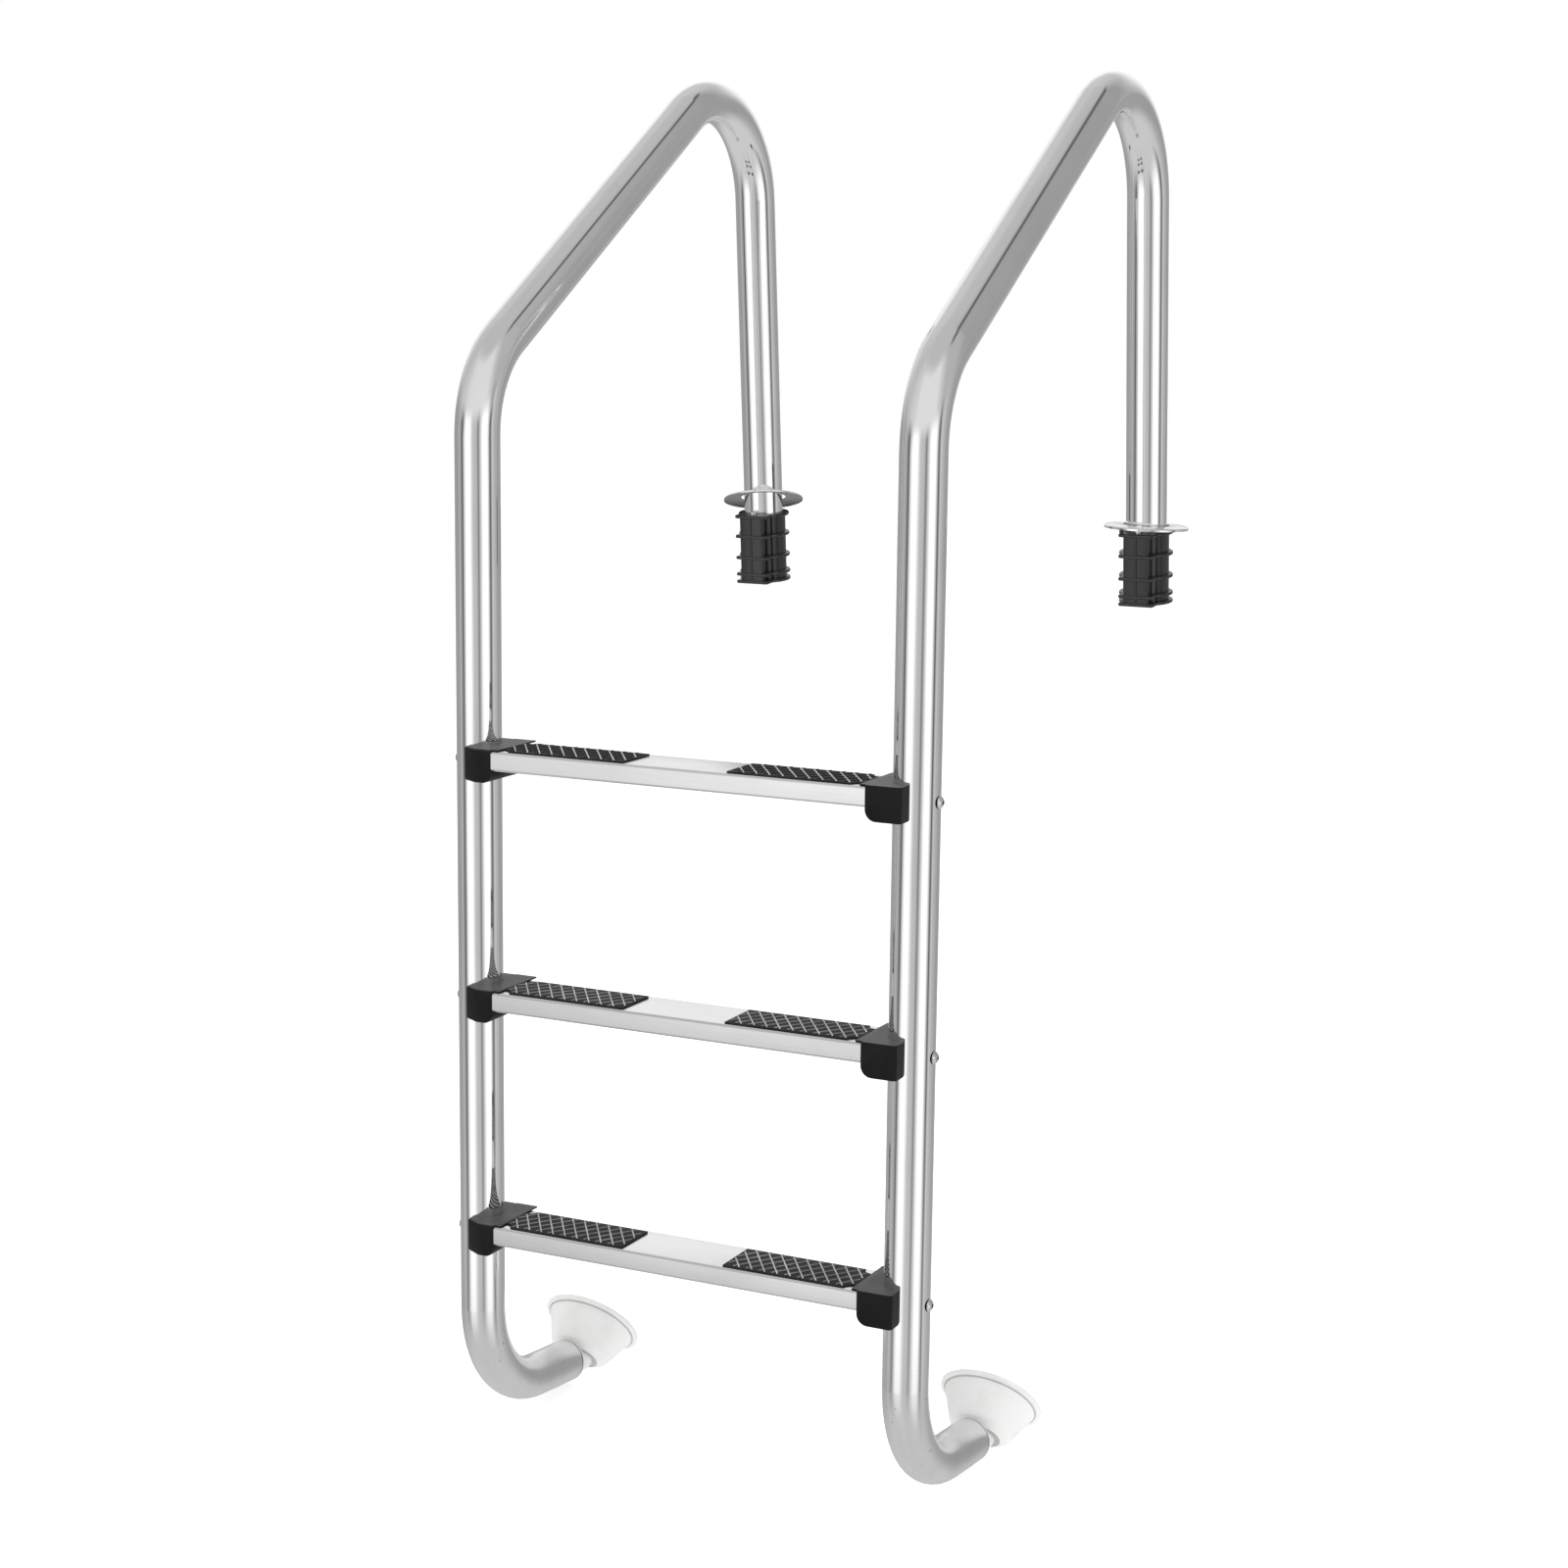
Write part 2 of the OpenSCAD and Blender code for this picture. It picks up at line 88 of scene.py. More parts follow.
class Side(Enum):
    """The two rails, with the sign of their X position."""

    LEFT = -1
    RIGHT = 1

    @property
    def label(self) -> str:
        """Name of the side as it stands in the node names."""
        return self.name.lower()


class Row(Enum):
    """The three treads, counted down from the deck."""

    TOP = 0
    MIDDLE = 1
    BOTTOM = 2

    @property
    def label(self) -> str:
        """Name of the row as it stands in the node names."""
        return self.name.lower()


class Slot(Enum):
    """Material slots of the record that a new piece can take its finish from."""

    POLISHED_STEEL = "polished_steel"
    TREAD_STEEL = "tread_steel"
    FASTENER_STEEL = "fastener_steel"
    WEDGE_METAL = "wedge_metal"
    BRACKET_PLASTIC = "bracket_plastic"
    ANCHOR_PLASTIC = "anchor_plastic"
    PAD_RUBBER = "pad_rubber"
    WHITE_RUBBER = "white_rubber"
    WHITE_PLASTIC = "white_plastic"


# ---------- Shader maths ----------


class Socket:
    """An output of a shader node, with arithmetic that adds Math nodes."""

    def __init__(self, tree: "ShaderTree", socket: bpy.types.NodeSocket) -> None:
        """Wraps a socket.

        Args:
            tree: The shader tree in which new nodes are made.
            socket: The output socket to wrap.
        """
        self.tree = tree
        self.socket = socket

    def _math(self, operation: str, first: Plug, second: Plug) -> "Socket":
        """Adds one Math node.

        Args:
            operation: The node's operation.
            first: Its first value or link.
            second: Its second value or link.

        Returns:
            The node's result.
        """
        return self.tree.add("ShaderNodeMath", {"operation": operation}, {0: first, 1: second})

    def __add__(self, other: Plug) -> "Socket":
        """Sum with a number or socket."""
        return self._math("ADD", self, other)

    __radd__ = __add__

    def __sub__(self, other: Plug) -> "Socket":
        """Difference from a number or socket."""
        return self._math("SUBTRACT", self, other)

    def __rsub__(self, other: Plug) -> "Socket":
        """A number less this socket."""
        return self._math("SUBTRACT", other, self)

    def __mul__(self, other: Plug) -> "Socket":
        """Product with a number or socket."""
        return self._math("MULTIPLY", self, other)

    __rmul__ = __mul__

    def __truediv__(self, other: Plug) -> "Socket":
        """Quotient by a number or socket."""
        return self._math("DIVIDE", self, other)

    def __abs__(self) -> "Socket":
        """Size of the value without its sign."""
        return self._math("ABSOLUTE", self, 0.0)

    def faded(self, target: Plug, share: Plug) -> "Socket":
        """The value moved towards another by a share."""
        return self - (self - target) * share

    def clamped(self) -> "Socket":
        """The value held between 0 and 1."""
        return self._math("MINIMUM", self._math("MAXIMUM", self, 0.0), 1.0)

    def ramp(self, low: float, high: float) -> "Socket":
        """A smooth step of this value.

        Args:
            low: The value at which the step starts.
            high: The value at which the step ends.

        Returns:
            0 below low, 1 above high and a smooth rise between them.
        """
        return self.tree.add(
            "ShaderNodeMapRange",
            {"interpolation_type": "SMOOTHSTEP"},
            {"Value": self, "From Min": low, "From Max": high},
        )


class ShaderTree:
    """The node tree of a material or a world, with one method that adds nodes."""

    def __init__(self, tree: bpy.types.NodeTree) -> None:
        """Empties a tree so that a finish can fill it.

        Args:
            tree: The node tree.
        """
        self.tree = tree
        tree.nodes.clear()

    def add(
        self,
        kind: str,
        settings: Optional[Settings] = None,
        sockets: Optional[dict[Union[str, int], Plug]] = None,
        output: Union[str, int] = 0,
    ) -> Optional[Socket]:
        """Adds a node.

        Args:
            kind: The node's type.
            settings: Properties to set first. "stops" sets a ramp's stops.
            sockets: Values or links for its inputs, by name or number.
            output: The output to return, by name or number.

        Returns:
            That output, or None for a node without outputs.
        """
        node = self.tree.nodes.new(kind)
        for name, value in (settings or {}).items():
            if name == "stops":
                self._set_stops(node, value)
            else:
                setattr(node, name, value)
        for name, value in (sockets or {}).items():
            if isinstance(value, Socket):
                self.tree.links.new(value.socket, node.inputs[name])
            else:
                node.inputs[name].default_value = value
        return Socket(self, node.outputs[output]) if node.outputs else None

    @staticmethod
    def _set_stops(node: bpy.types.Node, stops: Sequence[tuple[float, float]]) -> None:
        """Sets the stops of a colour ramp to greys.

        Args:
            node: The ramp node.
            stops: Position and brightness of each stop, in order.
        """
        elements = node.color_ramp.elements
        while len(elements) < len(stops):
            elements.new(1.0)
        for element, (position, value) in zip(elements, stops):
            element.position = position
            element.color = (value, value, value, 1.0)

    def place(self, stretch: Colour = (1.0, 1.0, 1.0), tilt: float = 0.0) -> Socket:
        """Position on the piece, in metres.

        Args:
            stretch: Scale along each axis; a small number draws a pattern out along it.
            tilt: Angle in radians by which the axes are first turned about X.

        Returns:
            The scaled position.
        """
        where = self.add("ShaderNodeTexCoord", output="Object")
        scale = tuple(1.0 / share for share in stretch)
        return self.add(
            "ShaderNodeMapping",
            {"vector_type": "TEXTURE"},
            {"Vector": where, "Rotation": (tilt, 0.0, 0.0), "Scale": scale},
        )

    def part(self, vector: Socket, axis: str) -> Socket:
        """One component of a vector."""
        return self.add("ShaderNodeSeparateXYZ", sockets={0: vector}, output=axis)

    def along(self, axis: str) -> Socket:
        """Place of the surface point along an axis of the ladder, in metres."""
        return self.part(self.add("ShaderNodeTexCoord", output="Object"), axis)

    def facing_up(self) -> Socket:
        """1 on faces that face up, falling to 0 on slopes."""
        return self.part(self.add("ShaderNodeTexCoord", output="Normal"), "Z").ramp(0.6, 0.97)

    def pointiness(self) -> Socket:
        """Over 0.5 on sharp outer edges and under 0.5 in hollows."""
        return self.add("ShaderNodeNewGeometry", output="Pointiness")

    def noise(
        self,
        scale: float,
        detail: float = 3.0,
        stretch: Colour = (1.0, 1.0, 1.0),
        rough: float = 0.5,
        tilt: float = 0.0,
    ) -> Socket:
        """Cloudy noise.

        Args:
            scale: Number of clouds in a metre.
            detail: Number of finer layers.
            stretch: Scale along each axis.
            rough: Strength of the finer layers.
            tilt: Angle in radians by which the axes are turned about X.

        Returns:
            Noise from 0 to 1.
        """
        where = self.place(stretch, tilt)
        return self.add(
            "ShaderNodeTexNoise",
            sockets={"Vector": where, "Scale": scale, "Detail": detail, "Roughness": rough},
        )

    def blend(self, factor: Plug, low: Plug, high: Plug) -> Socket:
        """Mix of two colours.

        Args:
            factor: Share of the second colour.
            low: The first colour.
            high: The second colour.

        Returns:
            The mixed colour.
        """
        first, second = (c if isinstance(c, Socket) else (*c, 1.0) for c in (low, high))
        sockets = {0: factor, 6: first, 7: second}
        return self.add("ShaderNodeMix", {"data_type": "RGBA"}, sockets, output=2)

    def bump(self, height: Socket, depth: float, strength: float = 1.0) -> Socket:
        """Surface normal of a relief.

        Args:
            height: Height from 0 to 1.
            depth: Depth of the relief in metres.
            strength: Strength of the relief.

        Returns:
            The normal.
        """
        return self.add(
            "ShaderNodeBump", sockets={"Strength": strength, "Distance": depth, "Height": height}
        )


class Finish:
    """A surface finish. A subclass paints its own shader."""

    slot: Slot

    @property
    def name(self) -> str:
        """Name of the material."""
        return type(self).__name__

    def paint(self, tree: ShaderTree) -> dict[str, Plug]:
        """Makes the finish's nodes.

        Args:
            tree: The material's tree.

        Returns:
            Values and links for the sockets of the main shader.
        """
        raise NotImplementedError

    def material(self) -> bpy.types.Material:
        """The finish as a material, made once.

        Returns:
            The material.
        """
        known = bpy.data.materials.get(self.name)
        if known:
            return known
        made = bpy.data.materials.new(self.name)
        made.use_nodes = True
        tree = ShaderTree(made.node_tree)
        surface = tree.add("ShaderNodeBsdfPrincipled", sockets=self.paint(tree))
        tree.add("ShaderNodeOutputMaterial", sockets={"Surface": surface})
        return made


@dataclass(frozen=True)
class PolishedTube(Finish):
    """Mirror-polished stainless steel with fine drawing lines and handling smudges."""

    slot: Slot = Slot.POLISHED_STEEL
    bright: Colour = (0.90, 0.90, 0.91)
    dull: Colour = (0.80, 0.80, 0.81)
    smooth: float = 0.035
    smudged: float = 0.10
    slope: float = math.radians(32.0)
    slope_from: float = 0.19
    dull_below: float = 0.76
    foot_below: float = 0.895
    foot_pitch: float = math.radians(6.0)
    foot_end: float = -0.39598
    # Colour of the dark nicks and of the painted shadow at the tube's end.
    cut: Colour = (0.10, 0.10, 0.10)

    def paint(self, tree: ShaderTree) -> dict[str, Plug]:
        """Streaks along the tube, cloudy smudges, a duller foot and a painted shadow: a dark band
        at the tube's end, next to the plug and cup.

        Args:
            tree: The material's tree.

        Returns:
            Values and links for the main shader.
        """
        upright = tree.noise(160.0, 4.0, (1.0, 0.35, 0.03), 0.6)
        sloping = tree.noise(160.0, 4.0, (1.0, 0.03, 0.6), 0.6, self.slope)
        on_slope = tree.along("Z").ramp(self.slope_from, self.slope_from + 0.08)
        streaks = upright.faded(sloping, on_slope)
        clouds = tree.noise(9.0, 4.0).ramp(0.42, 0.72)
        scuffs = tree.noise(70.0, 6.0, (1.0, 1.0, 0.35), 0.75).ramp(0.63, 0.74) * clouds
        depth = tree.along("Z") * -1.0
        low = depth.ramp(self.dull_below, self.dull_below + 0.12)
        nicks = tree.noise(260.0, 3.0, (1.0, 1.0, 0.5), 0.6).ramp(0.69, 0.73) * low
        wear = streaks * 0.35 + clouds * 0.4 + scuffs * 0.5 + low * (streaks * 0.5 + 0.1)
        wear = wear.clamped()
        # Painted shadow: a narrow band at the end of the foot is darkened where the tube meets the
        # plug and cup.
        out = tree.along("Y") * math.cos(self.foot_pitch) + depth * math.sin(self.foot_pitch)
        end_shadow = (out - self.foot_end).ramp(-0.0022, -0.0012)
        end_shadow = end_shadow * depth.ramp(self.foot_below, self.foot_below + 0.005)
        # Real nicks and a slight darkening towards the bottom, with the painted shadow at the end.
        nicks_and_end_shadow = (end_shadow + nicks * 0.6 + low * 0.04).clamped()
        return {
            "Base Color": tree.blend(nicks_and_end_shadow, tree.blend(wear, self.bright, self.dull), self.cut),
            "Metallic": 1.0,
            "Roughness": wear * (self.smudged - self.smooth) + low * 0.17 + self.smooth,
            "Normal": tree.bump(streaks, 0.00002, 0.35),
        }


@dataclass(frozen=True)
class TreadSheet(Finish):
    """Folded stainless sheet with a fine grain along the tread."""

    slot: Slot = Slot.TREAD_STEEL
    bright: Colour = (0.94, 0.94, 0.945)
    dull: Colour = (0.82, 0.82, 0.83)

    def paint(self, tree: ShaderTree) -> dict[str, Plug]:
        """Grain lines along X with soft clouds over them.

        Args:
            tree: The material's tree.

        Returns:
            Values and links for the main shader.
        """
        grain = tree.noise(900.0, 3.0, (0.02, 1.0, 1.0), 0.6)
        clouds = tree.noise(14.0, 3.0, (0.5, 1.0, 1.0)).ramp(0.35, 0.75)
        wear = (grain * 0.55 + clouds * 0.45).clamped()
        return {
            "Base Color": tree.blend(wear, self.bright, self.dull),
            "Metallic": 1.0,
            "Roughness": wear * 0.14 + 0.20,
            "Normal": tree.bump(grain, 0.00003, 0.2),
        }


@dataclass(frozen=True)
class TreadFront(TreadSheet):
    """The front wall of a tread, painted darker than its top as painted shade."""

    # Painted shade: the front wall is painted darker than the top.
    bright: Colour = (0.58, 0.58, 0.585)
    dull: Colour = (0.51, 0.51, 0.515)
    # Painted light: the height from which the tread fronts are painted brighter, by how much, and
    # how much more towards the right end.
    above: float = -0.40
    lift: float = 0.26
    right_lift: float = 0.20

    def paint(self, tree: ShaderTree) -> dict[str, Plug]:
        """The sheet's grain, with painted light: brighter on the top tread and towards the right
        end.

        Args:
            tree: The material's tree.

        Returns:
            Values and links for the main shader.
        """
        made = super().paint(tree)
        # Painted light on the top tread and towards the right end.
        share = tree.along("Z").ramp(self.above, self.above + 0.08) * self.lift
        share = share + tree.along("X").ramp(-0.34, 0.30) * self.right_lift
        made["Base Color"] = tree.blend(share, made["Base Color"], (1.0, 1.0, 1.0))
        return made


@dataclass(frozen=True)
class CoverChrome(Finish):
    """Bright spun steel of the cover rings, with cloudy dulling and water spots."""

    slot: Slot = Slot.POLISHED_STEEL
    bright: Colour = (0.88, 0.88, 0.89)
    dull: Colour = (0.72, 0.72, 0.73)

    def paint(self, tree: ShaderTree) -> dict[str, Plug]:
        """Cloudy dulling and small spots.

        Args:
            tree: The material's tree.

        Returns:
            Values and links for the main shader.
        """
        clouds = tree.noise(30.0, 5.0).ramp(0.35, 0.75)
        spots = tree.noise(260.0, 2.0).ramp(0.66, 0.74)
        wear = (clouds * 0.6 + spots * 0.4).clamped()
        return {
            "Base Color": tree.blend(wear, self.bright, self.dull),
            "Metallic": 1.0,
            "Roughness": wear * 0.16 + 0.08,
            "Normal": tree.bump(clouds, 0.0001, 0.3),
        }


@dataclass(frozen=True)
class CoverUnderside(CoverChrome):
    """The underside of a cover ring, painted dark as painted shade."""

    # Painted shade: a dark tone for the faces that face down.
    bright: Colour = (0.13, 0.13, 0.13)
    dull: Colour = (0.05, 0.05, 0.05)


@dataclass(frozen=True)
class FastenerSteel(Finish):
    """Tumbled stainless screws and nuts."""

    slot: Slot = Slot.FASTENER_STEEL
    bright: Colour = (0.80, 0.80, 0.81)
    # The dull tone also serves as the painted shade in the hollows.
    dull: Colour = (0.22, 0.22, 0.225)

    def paint(self, tree: ShaderTree) -> dict[str, Plug]:
        """Small dents, dull patches and painted shade in the hollows.

        Args:
            tree: The material's tree.

        Returns:
            Values and links for the main shader.
        """
        patches = tree.noise(420.0, 4.0).ramp(0.4, 0.75)
        # Painted shade: hollows are darkened.
        hollow_shade = 1.0 - tree.pointiness().ramp(0.40, 0.485)
        return {
            "Base Color": tree.blend((patches * 0.5 + hollow_shade).clamped(), self.bright, self.dull),
            "Metallic": 1.0,
            "Roughness": patches * 0.2 + 0.16,
            "Normal": tree.bump(patches, 0.00005, 0.5),
        }


@dataclass(frozen=True)
class ScrewHollow(FastenerSteel):
    """The key socket and rim of a tread screw, painted dark as painted shade."""

    # Painted shade: near black.
    bright: Colour = (0.10, 0.10, 0.10)
    dull: Colour = (0.03, 0.03, 0.03)


@dataclass(frozen=True)
class WedgeMetal(Finish):
    """Cast wedge with a grainy skin and broad stains."""

    slot: Slot = Slot.WEDGE_METAL
    bright: Colour = (0.50, 0.50, 0.49)
    dull: Colour = (0.24, 0.24, 0.23)

    def paint(self, tree: ShaderTree) -> dict[str, Plug]:
        """Cast grain and broad stains.

        Args:
            tree: The material's tree.

        Returns:
            Values and links for the main shader.
        """
        grain = tree.noise(700.0, 5.0)
        stains = tree.noise(60.0, 4.0).ramp(0.35, 0.7)
        wear = (grain * 0.4 + stains * 0.6).clamped()
        return {
            "Base Color": tree.blend(wear, self.bright, self.dull),
            "Metallic": 0.85,
            "Roughness": grain * 0.25 + 0.38,
            "Normal": tree.bump(grain, 0.0002, 0.6),
        }


@dataclass(frozen=True)
class BlackMoulding(Finish):
    """Black moulded plastic with a fine spark-etched grain, and paler edges as a painted highlight.
    """

    slot: Slot = Slot.BRACKET_PLASTIC
    dark: Colour = (0.0015, 0.0015, 0.0017)
    # Tone of the flow marks and grain, and of the painted highlight on the edges.
    worn: Colour = (0.014, 0.014, 0.015)
    # Painted reflection: what faces up is painted paler.
    dust: Colour = (0.12, 0.12, 0.12)
    sheen: float = 0.13
    rough: float = 0.34

    def paint(self, tree: ShaderTree) -> dict[str, Plug]:
        """Grain, flow marks, edges painted paler as a painted highlight, and a painted reflection
        of the bright room on what faces up.

        Args:
            tree: The material's tree.

        Returns:
            Values and links for the main shader.
        """
        grain = tree.noise(1700.0, 3.0)
        flow = tree.noise(26.0, 3.0, (1.0, 1.0, 0.4)).ramp(0.35, 0.75)
        # Painted highlight on sharp outer edges.
        edges = tree.pointiness().ramp(0.505, 0.57)
        wear = (flow * 0.25 + grain * 0.2 + edges * 0.7).clamped()
        # Painted reflection on what faces up, patchy with the flow marks.
        dusty = tree.facing_up() * (flow * 0.4 + 0.5)
        return {
            "Base Color": tree.blend(dusty, tree.blend(wear, self.dark, self.worn), self.dust),
            "Roughness": grain * 0.10 + flow * 0.10 + self.rough,
            "Specular IOR Level": self.sheen,
            "Normal": tree.bump(grain, 0.0001, 0.35),
        }


@dataclass(frozen=True)
class AnchorMoulding(BlackMoulding):
    """The anchors' plastic, a little greyer and duller than the brackets'."""

    slot: Slot = Slot.ANCHOR_PLASTIC
    dark: Colour = (0.002, 0.002, 0.0022)
    # Paler edges as a painted highlight, and a fainter painted reflection on what faces up, as on
    # the brackets.
    worn: Colour = (0.012, 0.012, 0.013)
    dust: Colour = (0.03, 0.03, 0.03)
    sheen: float = 0.68
    rough: float = 0.20


@dataclass(frozen=True)
class TreadRubber(Finish):
    """Black rubber of the tread pads."""

    slot: Slot = Slot.PAD_RUBBER
    dark: Colour = (0.010, 0.010, 0.011)
    dusty: Colour = (0.030, 0.030, 0.031)

    def paint(self, tree: ShaderTree) -> dict[str, Plug]:
        """Rubber grain with dust in broad patches.

        Args:
            tree: The material's tree.

        Returns:
            Values and links for the main shader.
        """
        grain = tree.noise(1300.0, 4.0)
        dust = tree.noise(45.0, 4.0).ramp(0.35, 0.75)
        return {
            "Base Color": tree.blend((grain * 0.3 + dust * 0.7).clamped(), self.dark, self.dusty),
            "Roughness": grain * 0.14 + dust * 0.1 + 0.52,
            "Specular IOR Level": 0.2,
            "Normal": tree.bump(grain, 0.0002, 0.5),
        }


@dataclass(frozen=True)
class RibRubber(TreadRubber):
    """The ribs of the pads that lean one way, painted pale as a painted highlight."""

    # Painted highlight: pale greys.
    dark: Colour = (0.42, 0.42, 0.42)
    dusty: Colour = (0.72, 0.72, 0.72)


@dataclass(frozen=True)
class PartRubbedRibRubber(TreadRubber):
    """The ribs of the lower pads that lean the other way, painted mid grey as a dimmer painted
    highlight.
    """

    # Dimmer painted highlight: mid greys.
    dark: Colour = (0.14, 0.14, 0.14)
    dusty: Colour = (0.34, 0.34, 0.34)


@dataclass(frozen=True)
class ShadedRibRubber(TreadRubber):
    """The ribs of the top pads that lean the other way, painted near black as painted shade."""

    # Painted shade: near black.
    dark: Colour = (0.006, 0.006, 0.006)
    dusty: Colour = (0.020, 0.020, 0.020)


@dataclass(frozen=True)
class WhiteRubber(Finish):
    """White moulded rubber of the bumpers with faint scuffs."""

    slot: Slot = Slot.WHITE_RUBBER
    clean: Colour = (0.80, 0.80, 0.795)
    grubby: Colour = (0.70, 0.695, 0.68)
    # Painted shade: colour of the creases.
    crease: Colour = (0.34, 0.34, 0.33)

    def paint(self, tree: ShaderTree) -> dict[str, Plug]:
        """Soft mottling, rare dark specks, painted shade in the creases and a fine skin.

        Args:
            tree: The material's tree.

        Returns:
            Values and links for the main shader.
        """
        mottling = tree.noise(38.0, 4.0).ramp(0.4, 0.8)
        specks = tree.noise(240.0, 3.0).ramp(0.70, 0.76)
        skin = tree.noise(900.0, 3.0)
        # Painted shade: creases and hollows are darkened.
        crease_shade = 1.0 - tree.pointiness().ramp(0.40, 0.49)
        rubber = tree.blend((mottling * 0.6 + specks).clamped(), self.clean, self.grubby)
        return {
            "Base Color": tree.blend(crease_shade, rubber, self.crease),
            "Roughness": skin * 0.12 + mottling * 0.08 + 0.42,
            "Normal": tree.bump(skin, 0.00012, 0.35),
        }


@dataclass(frozen=True)
class GrimyRubber(WhiteRubber):
    """The same rubber painted darker in the groove under a rim and on the mouth, as painted shade.
    """

    # Painted shade: darker whites.
    clean: Colour = (0.46, 0.46, 0.455)
    grubby: Colour = (0.36, 0.355, 0.345)


@dataclass(frozen=True)
class WhitePlastic(WhiteRubber):
    """Harder, glossier white of the plugs and ball studs."""

    slot: Slot = Slot.WHITE_PLASTIC
    clean: Colour = (0.76, 0.76, 0.75)
    grubby: Colour = (0.68, 0.675, 0.66)


@dataclass(frozen=True)
class StudioFloor(Finish):
    """Pale floor with the faintest mottling."""

    slot: Optional[Slot] = None

    def paint(self, tree: ShaderTree) -> dict[str, Plug]:
        """Near-white paint with soft clouds, lifted a little by its own glow.

        Args:
            tree: The material's tree.

        Returns:
            Values and links for the main shader.
        """
        clouds = tree.noise(1.2, 3.0)
        return {
            "Base Color": tree.blend(clouds, (0.86, 0.86, 0.86), (0.90, 0.90, 0.90)),
            "Roughness": 0.9,
            "Specular IOR Level": 0.1,
            "Emission Color": (1.0, 1.0, 1.0, 1.0),
            "Emission Strength": 0.55,
        }


# ---------- Mesh building ----------


class Shape:
    """A mesh under construction, in metres, in the frame of the model."""

    def __init__(self) -> None:
        """Starts an empty mesh."""
        self.mesh = bmesh.new()

    def prism(self, outline: Sequence[Point], low: float, high: float) -> "Shape":
        """Adds an upright prism.

        Args:
            outline: Corners in the XY plane, anticlockwise.
            low: Z of its bottom.
            high: Z of its top.

        Returns:
            This shape.
        """
        return self.loft([[Vector((x, y, z)) for x, y in outline] for z in (low, high)])

    def loft(self, rings: Sequence[Sequence[Vector]], closed: bool = False) -> "Shape":
        """Adds a skin over rings of points.

        Args:
            rings: Rings of equal length, each in the same order.
            closed: Whether the last ring joins the first; otherwise both ends get a cap.

        Returns:
            This shape.
        """
        made = [[self.mesh.verts.new(point) for point in ring] for ring in rings]
        count = len(made[0])
        pairs = list(zip(made, made[1:])) + ([(made[-1], made[0])] if closed else [])
        for lower, upper in pairs:
            for i in range(count):
                j = (i + 1) % count
                self.mesh.faces.new((lower[i], lower[j], upper[j], upper[i]))
        if not closed:
            self.mesh.faces.new(list(reversed(made[0])))
            self.mesh.faces.new(made[-1])
        return self

    def lathe(self, profile: Sequence[Point], steps: int = 128) -> "Shape":
        """Adds a turned solid round the Z axis.

        Args:
            profile: Radius and Z of the section, a closed loop. A radius of 0 lies on the axis.
            steps: Number of steps round the axis.

        Returns:
            This shape.
        """
        rings: list[list[bmesh.types.BMVert]] = []
        for radius, z in profile:
            if radius < 1e-7:
                rings.append([self.mesh.verts.new((0.0, 0.0, z))])
                continue
            rings.append([self.mesh.verts.new((x, y, z)) for x, y in circle(radius, steps)])
        for lower, upper in zip(rings, rings[1:] + rings[:1]):
            if len(lower) == 1 and len(upper) == 1:
                continue
            for i in range(steps):
                j = (i + 1) % steps
                corners = [lower[i % len(lower)], lower[j % len(lower)]]
                corners += [upper[j % len(upper)], upper[i % len(upper)]]
                self.mesh.faces.new(list(dict.fromkeys(corners)))
        return self

    def adopt(self, piece: bpy.types.Object) -> "Shape":
        """Adds a copy of a piece's mesh."""
        self.mesh.from_mesh(piece.data)
        return self

    def moved(self, matrix: Matrix) -> "Shape":
        """Moves everything made so far.

        Args:
            matrix: The move.

        Returns:
            This shape.
        """
        self.mesh.transform(matrix)
        if matrix.determinant() < 0:
            bmesh.ops.reverse_faces(self.mesh, faces=self.mesh.faces)
        return self

    def mark(self, chosen: Callable[[bmesh.types.BMFace], bool]) -> "Shape":
        """Gives some faces the second finish.

        Args:
            chosen: Says whether a face is one of them.

        Returns:
            This shape.
        """
        bmesh.ops.recalc_face_normals(self.mesh, faces=self.mesh.faces)
        for face in self.mesh.faces:
            face.material_index = int(chosen(face))
        return self

    def piece(self, name: str, smooth_below: float = 40.0) -> bpy.types.Object:
        """Turns the mesh into an object.

        Args:
            name: The object's name.
            smooth_below: Edges under this many degrees are shaded smooth.

        Returns:
            The object, in the scene.
        """
        bmesh.ops.recalc_face_normals(self.mesh, faces=self.mesh.faces)
        data = bpy.data.meshes.new(name)
        self.mesh.to_mesh(data)
        self.mesh.free()
        made = bpy.data.objects.new(name, data)
        bpy.context.scene.collection.objects.link(made)
        shade(made, smooth_below)
        return made


def shade(piece: bpy.types.Object, smooth_below: float) -> None:
    """Shades a piece smooth, apart from its sharp edges.

    Args:
        piece: The piece.
        smooth_below: Edges under this many degrees are smooth.
    """
    piece.data.polygons.foreach_set("use_smooth", [True] * len(piece.data.polygons))
    piece.data.set_sharp_from_angle(angle=math.radians(smooth_below))


def apply_modifiers(piece: bpy.types.Object) -> None:
    """Replaces a piece's mesh with what its modifiers make of it.

    Args:
        piece: The piece.
    """
    graph = bpy.context.evaluated_depsgraph_get()
    made = bpy.data.meshes.new_from_object(piece.evaluated_get(graph))
    piece.modifiers.clear()
    piece.data = made


def soften(piece: bpy.types.Object, width: float, steps: int = 3, above: float = 50.0) -> None:
    """Rounds the sharp edges of a piece.

    Args:
        piece: The piece.
        width: Radius of the rounding in metres.
        steps: Number of steps across it.
        above: Only edges over this many degrees are rounded.
    """
    bevel = piece.modifiers.new("soften", "BEVEL")
    bevel.width = width
    bevel.segments = steps
    bevel.limit_method = "ANGLE"
    bevel.angle_limit = math.radians(above)
    apply_modifiers(piece)


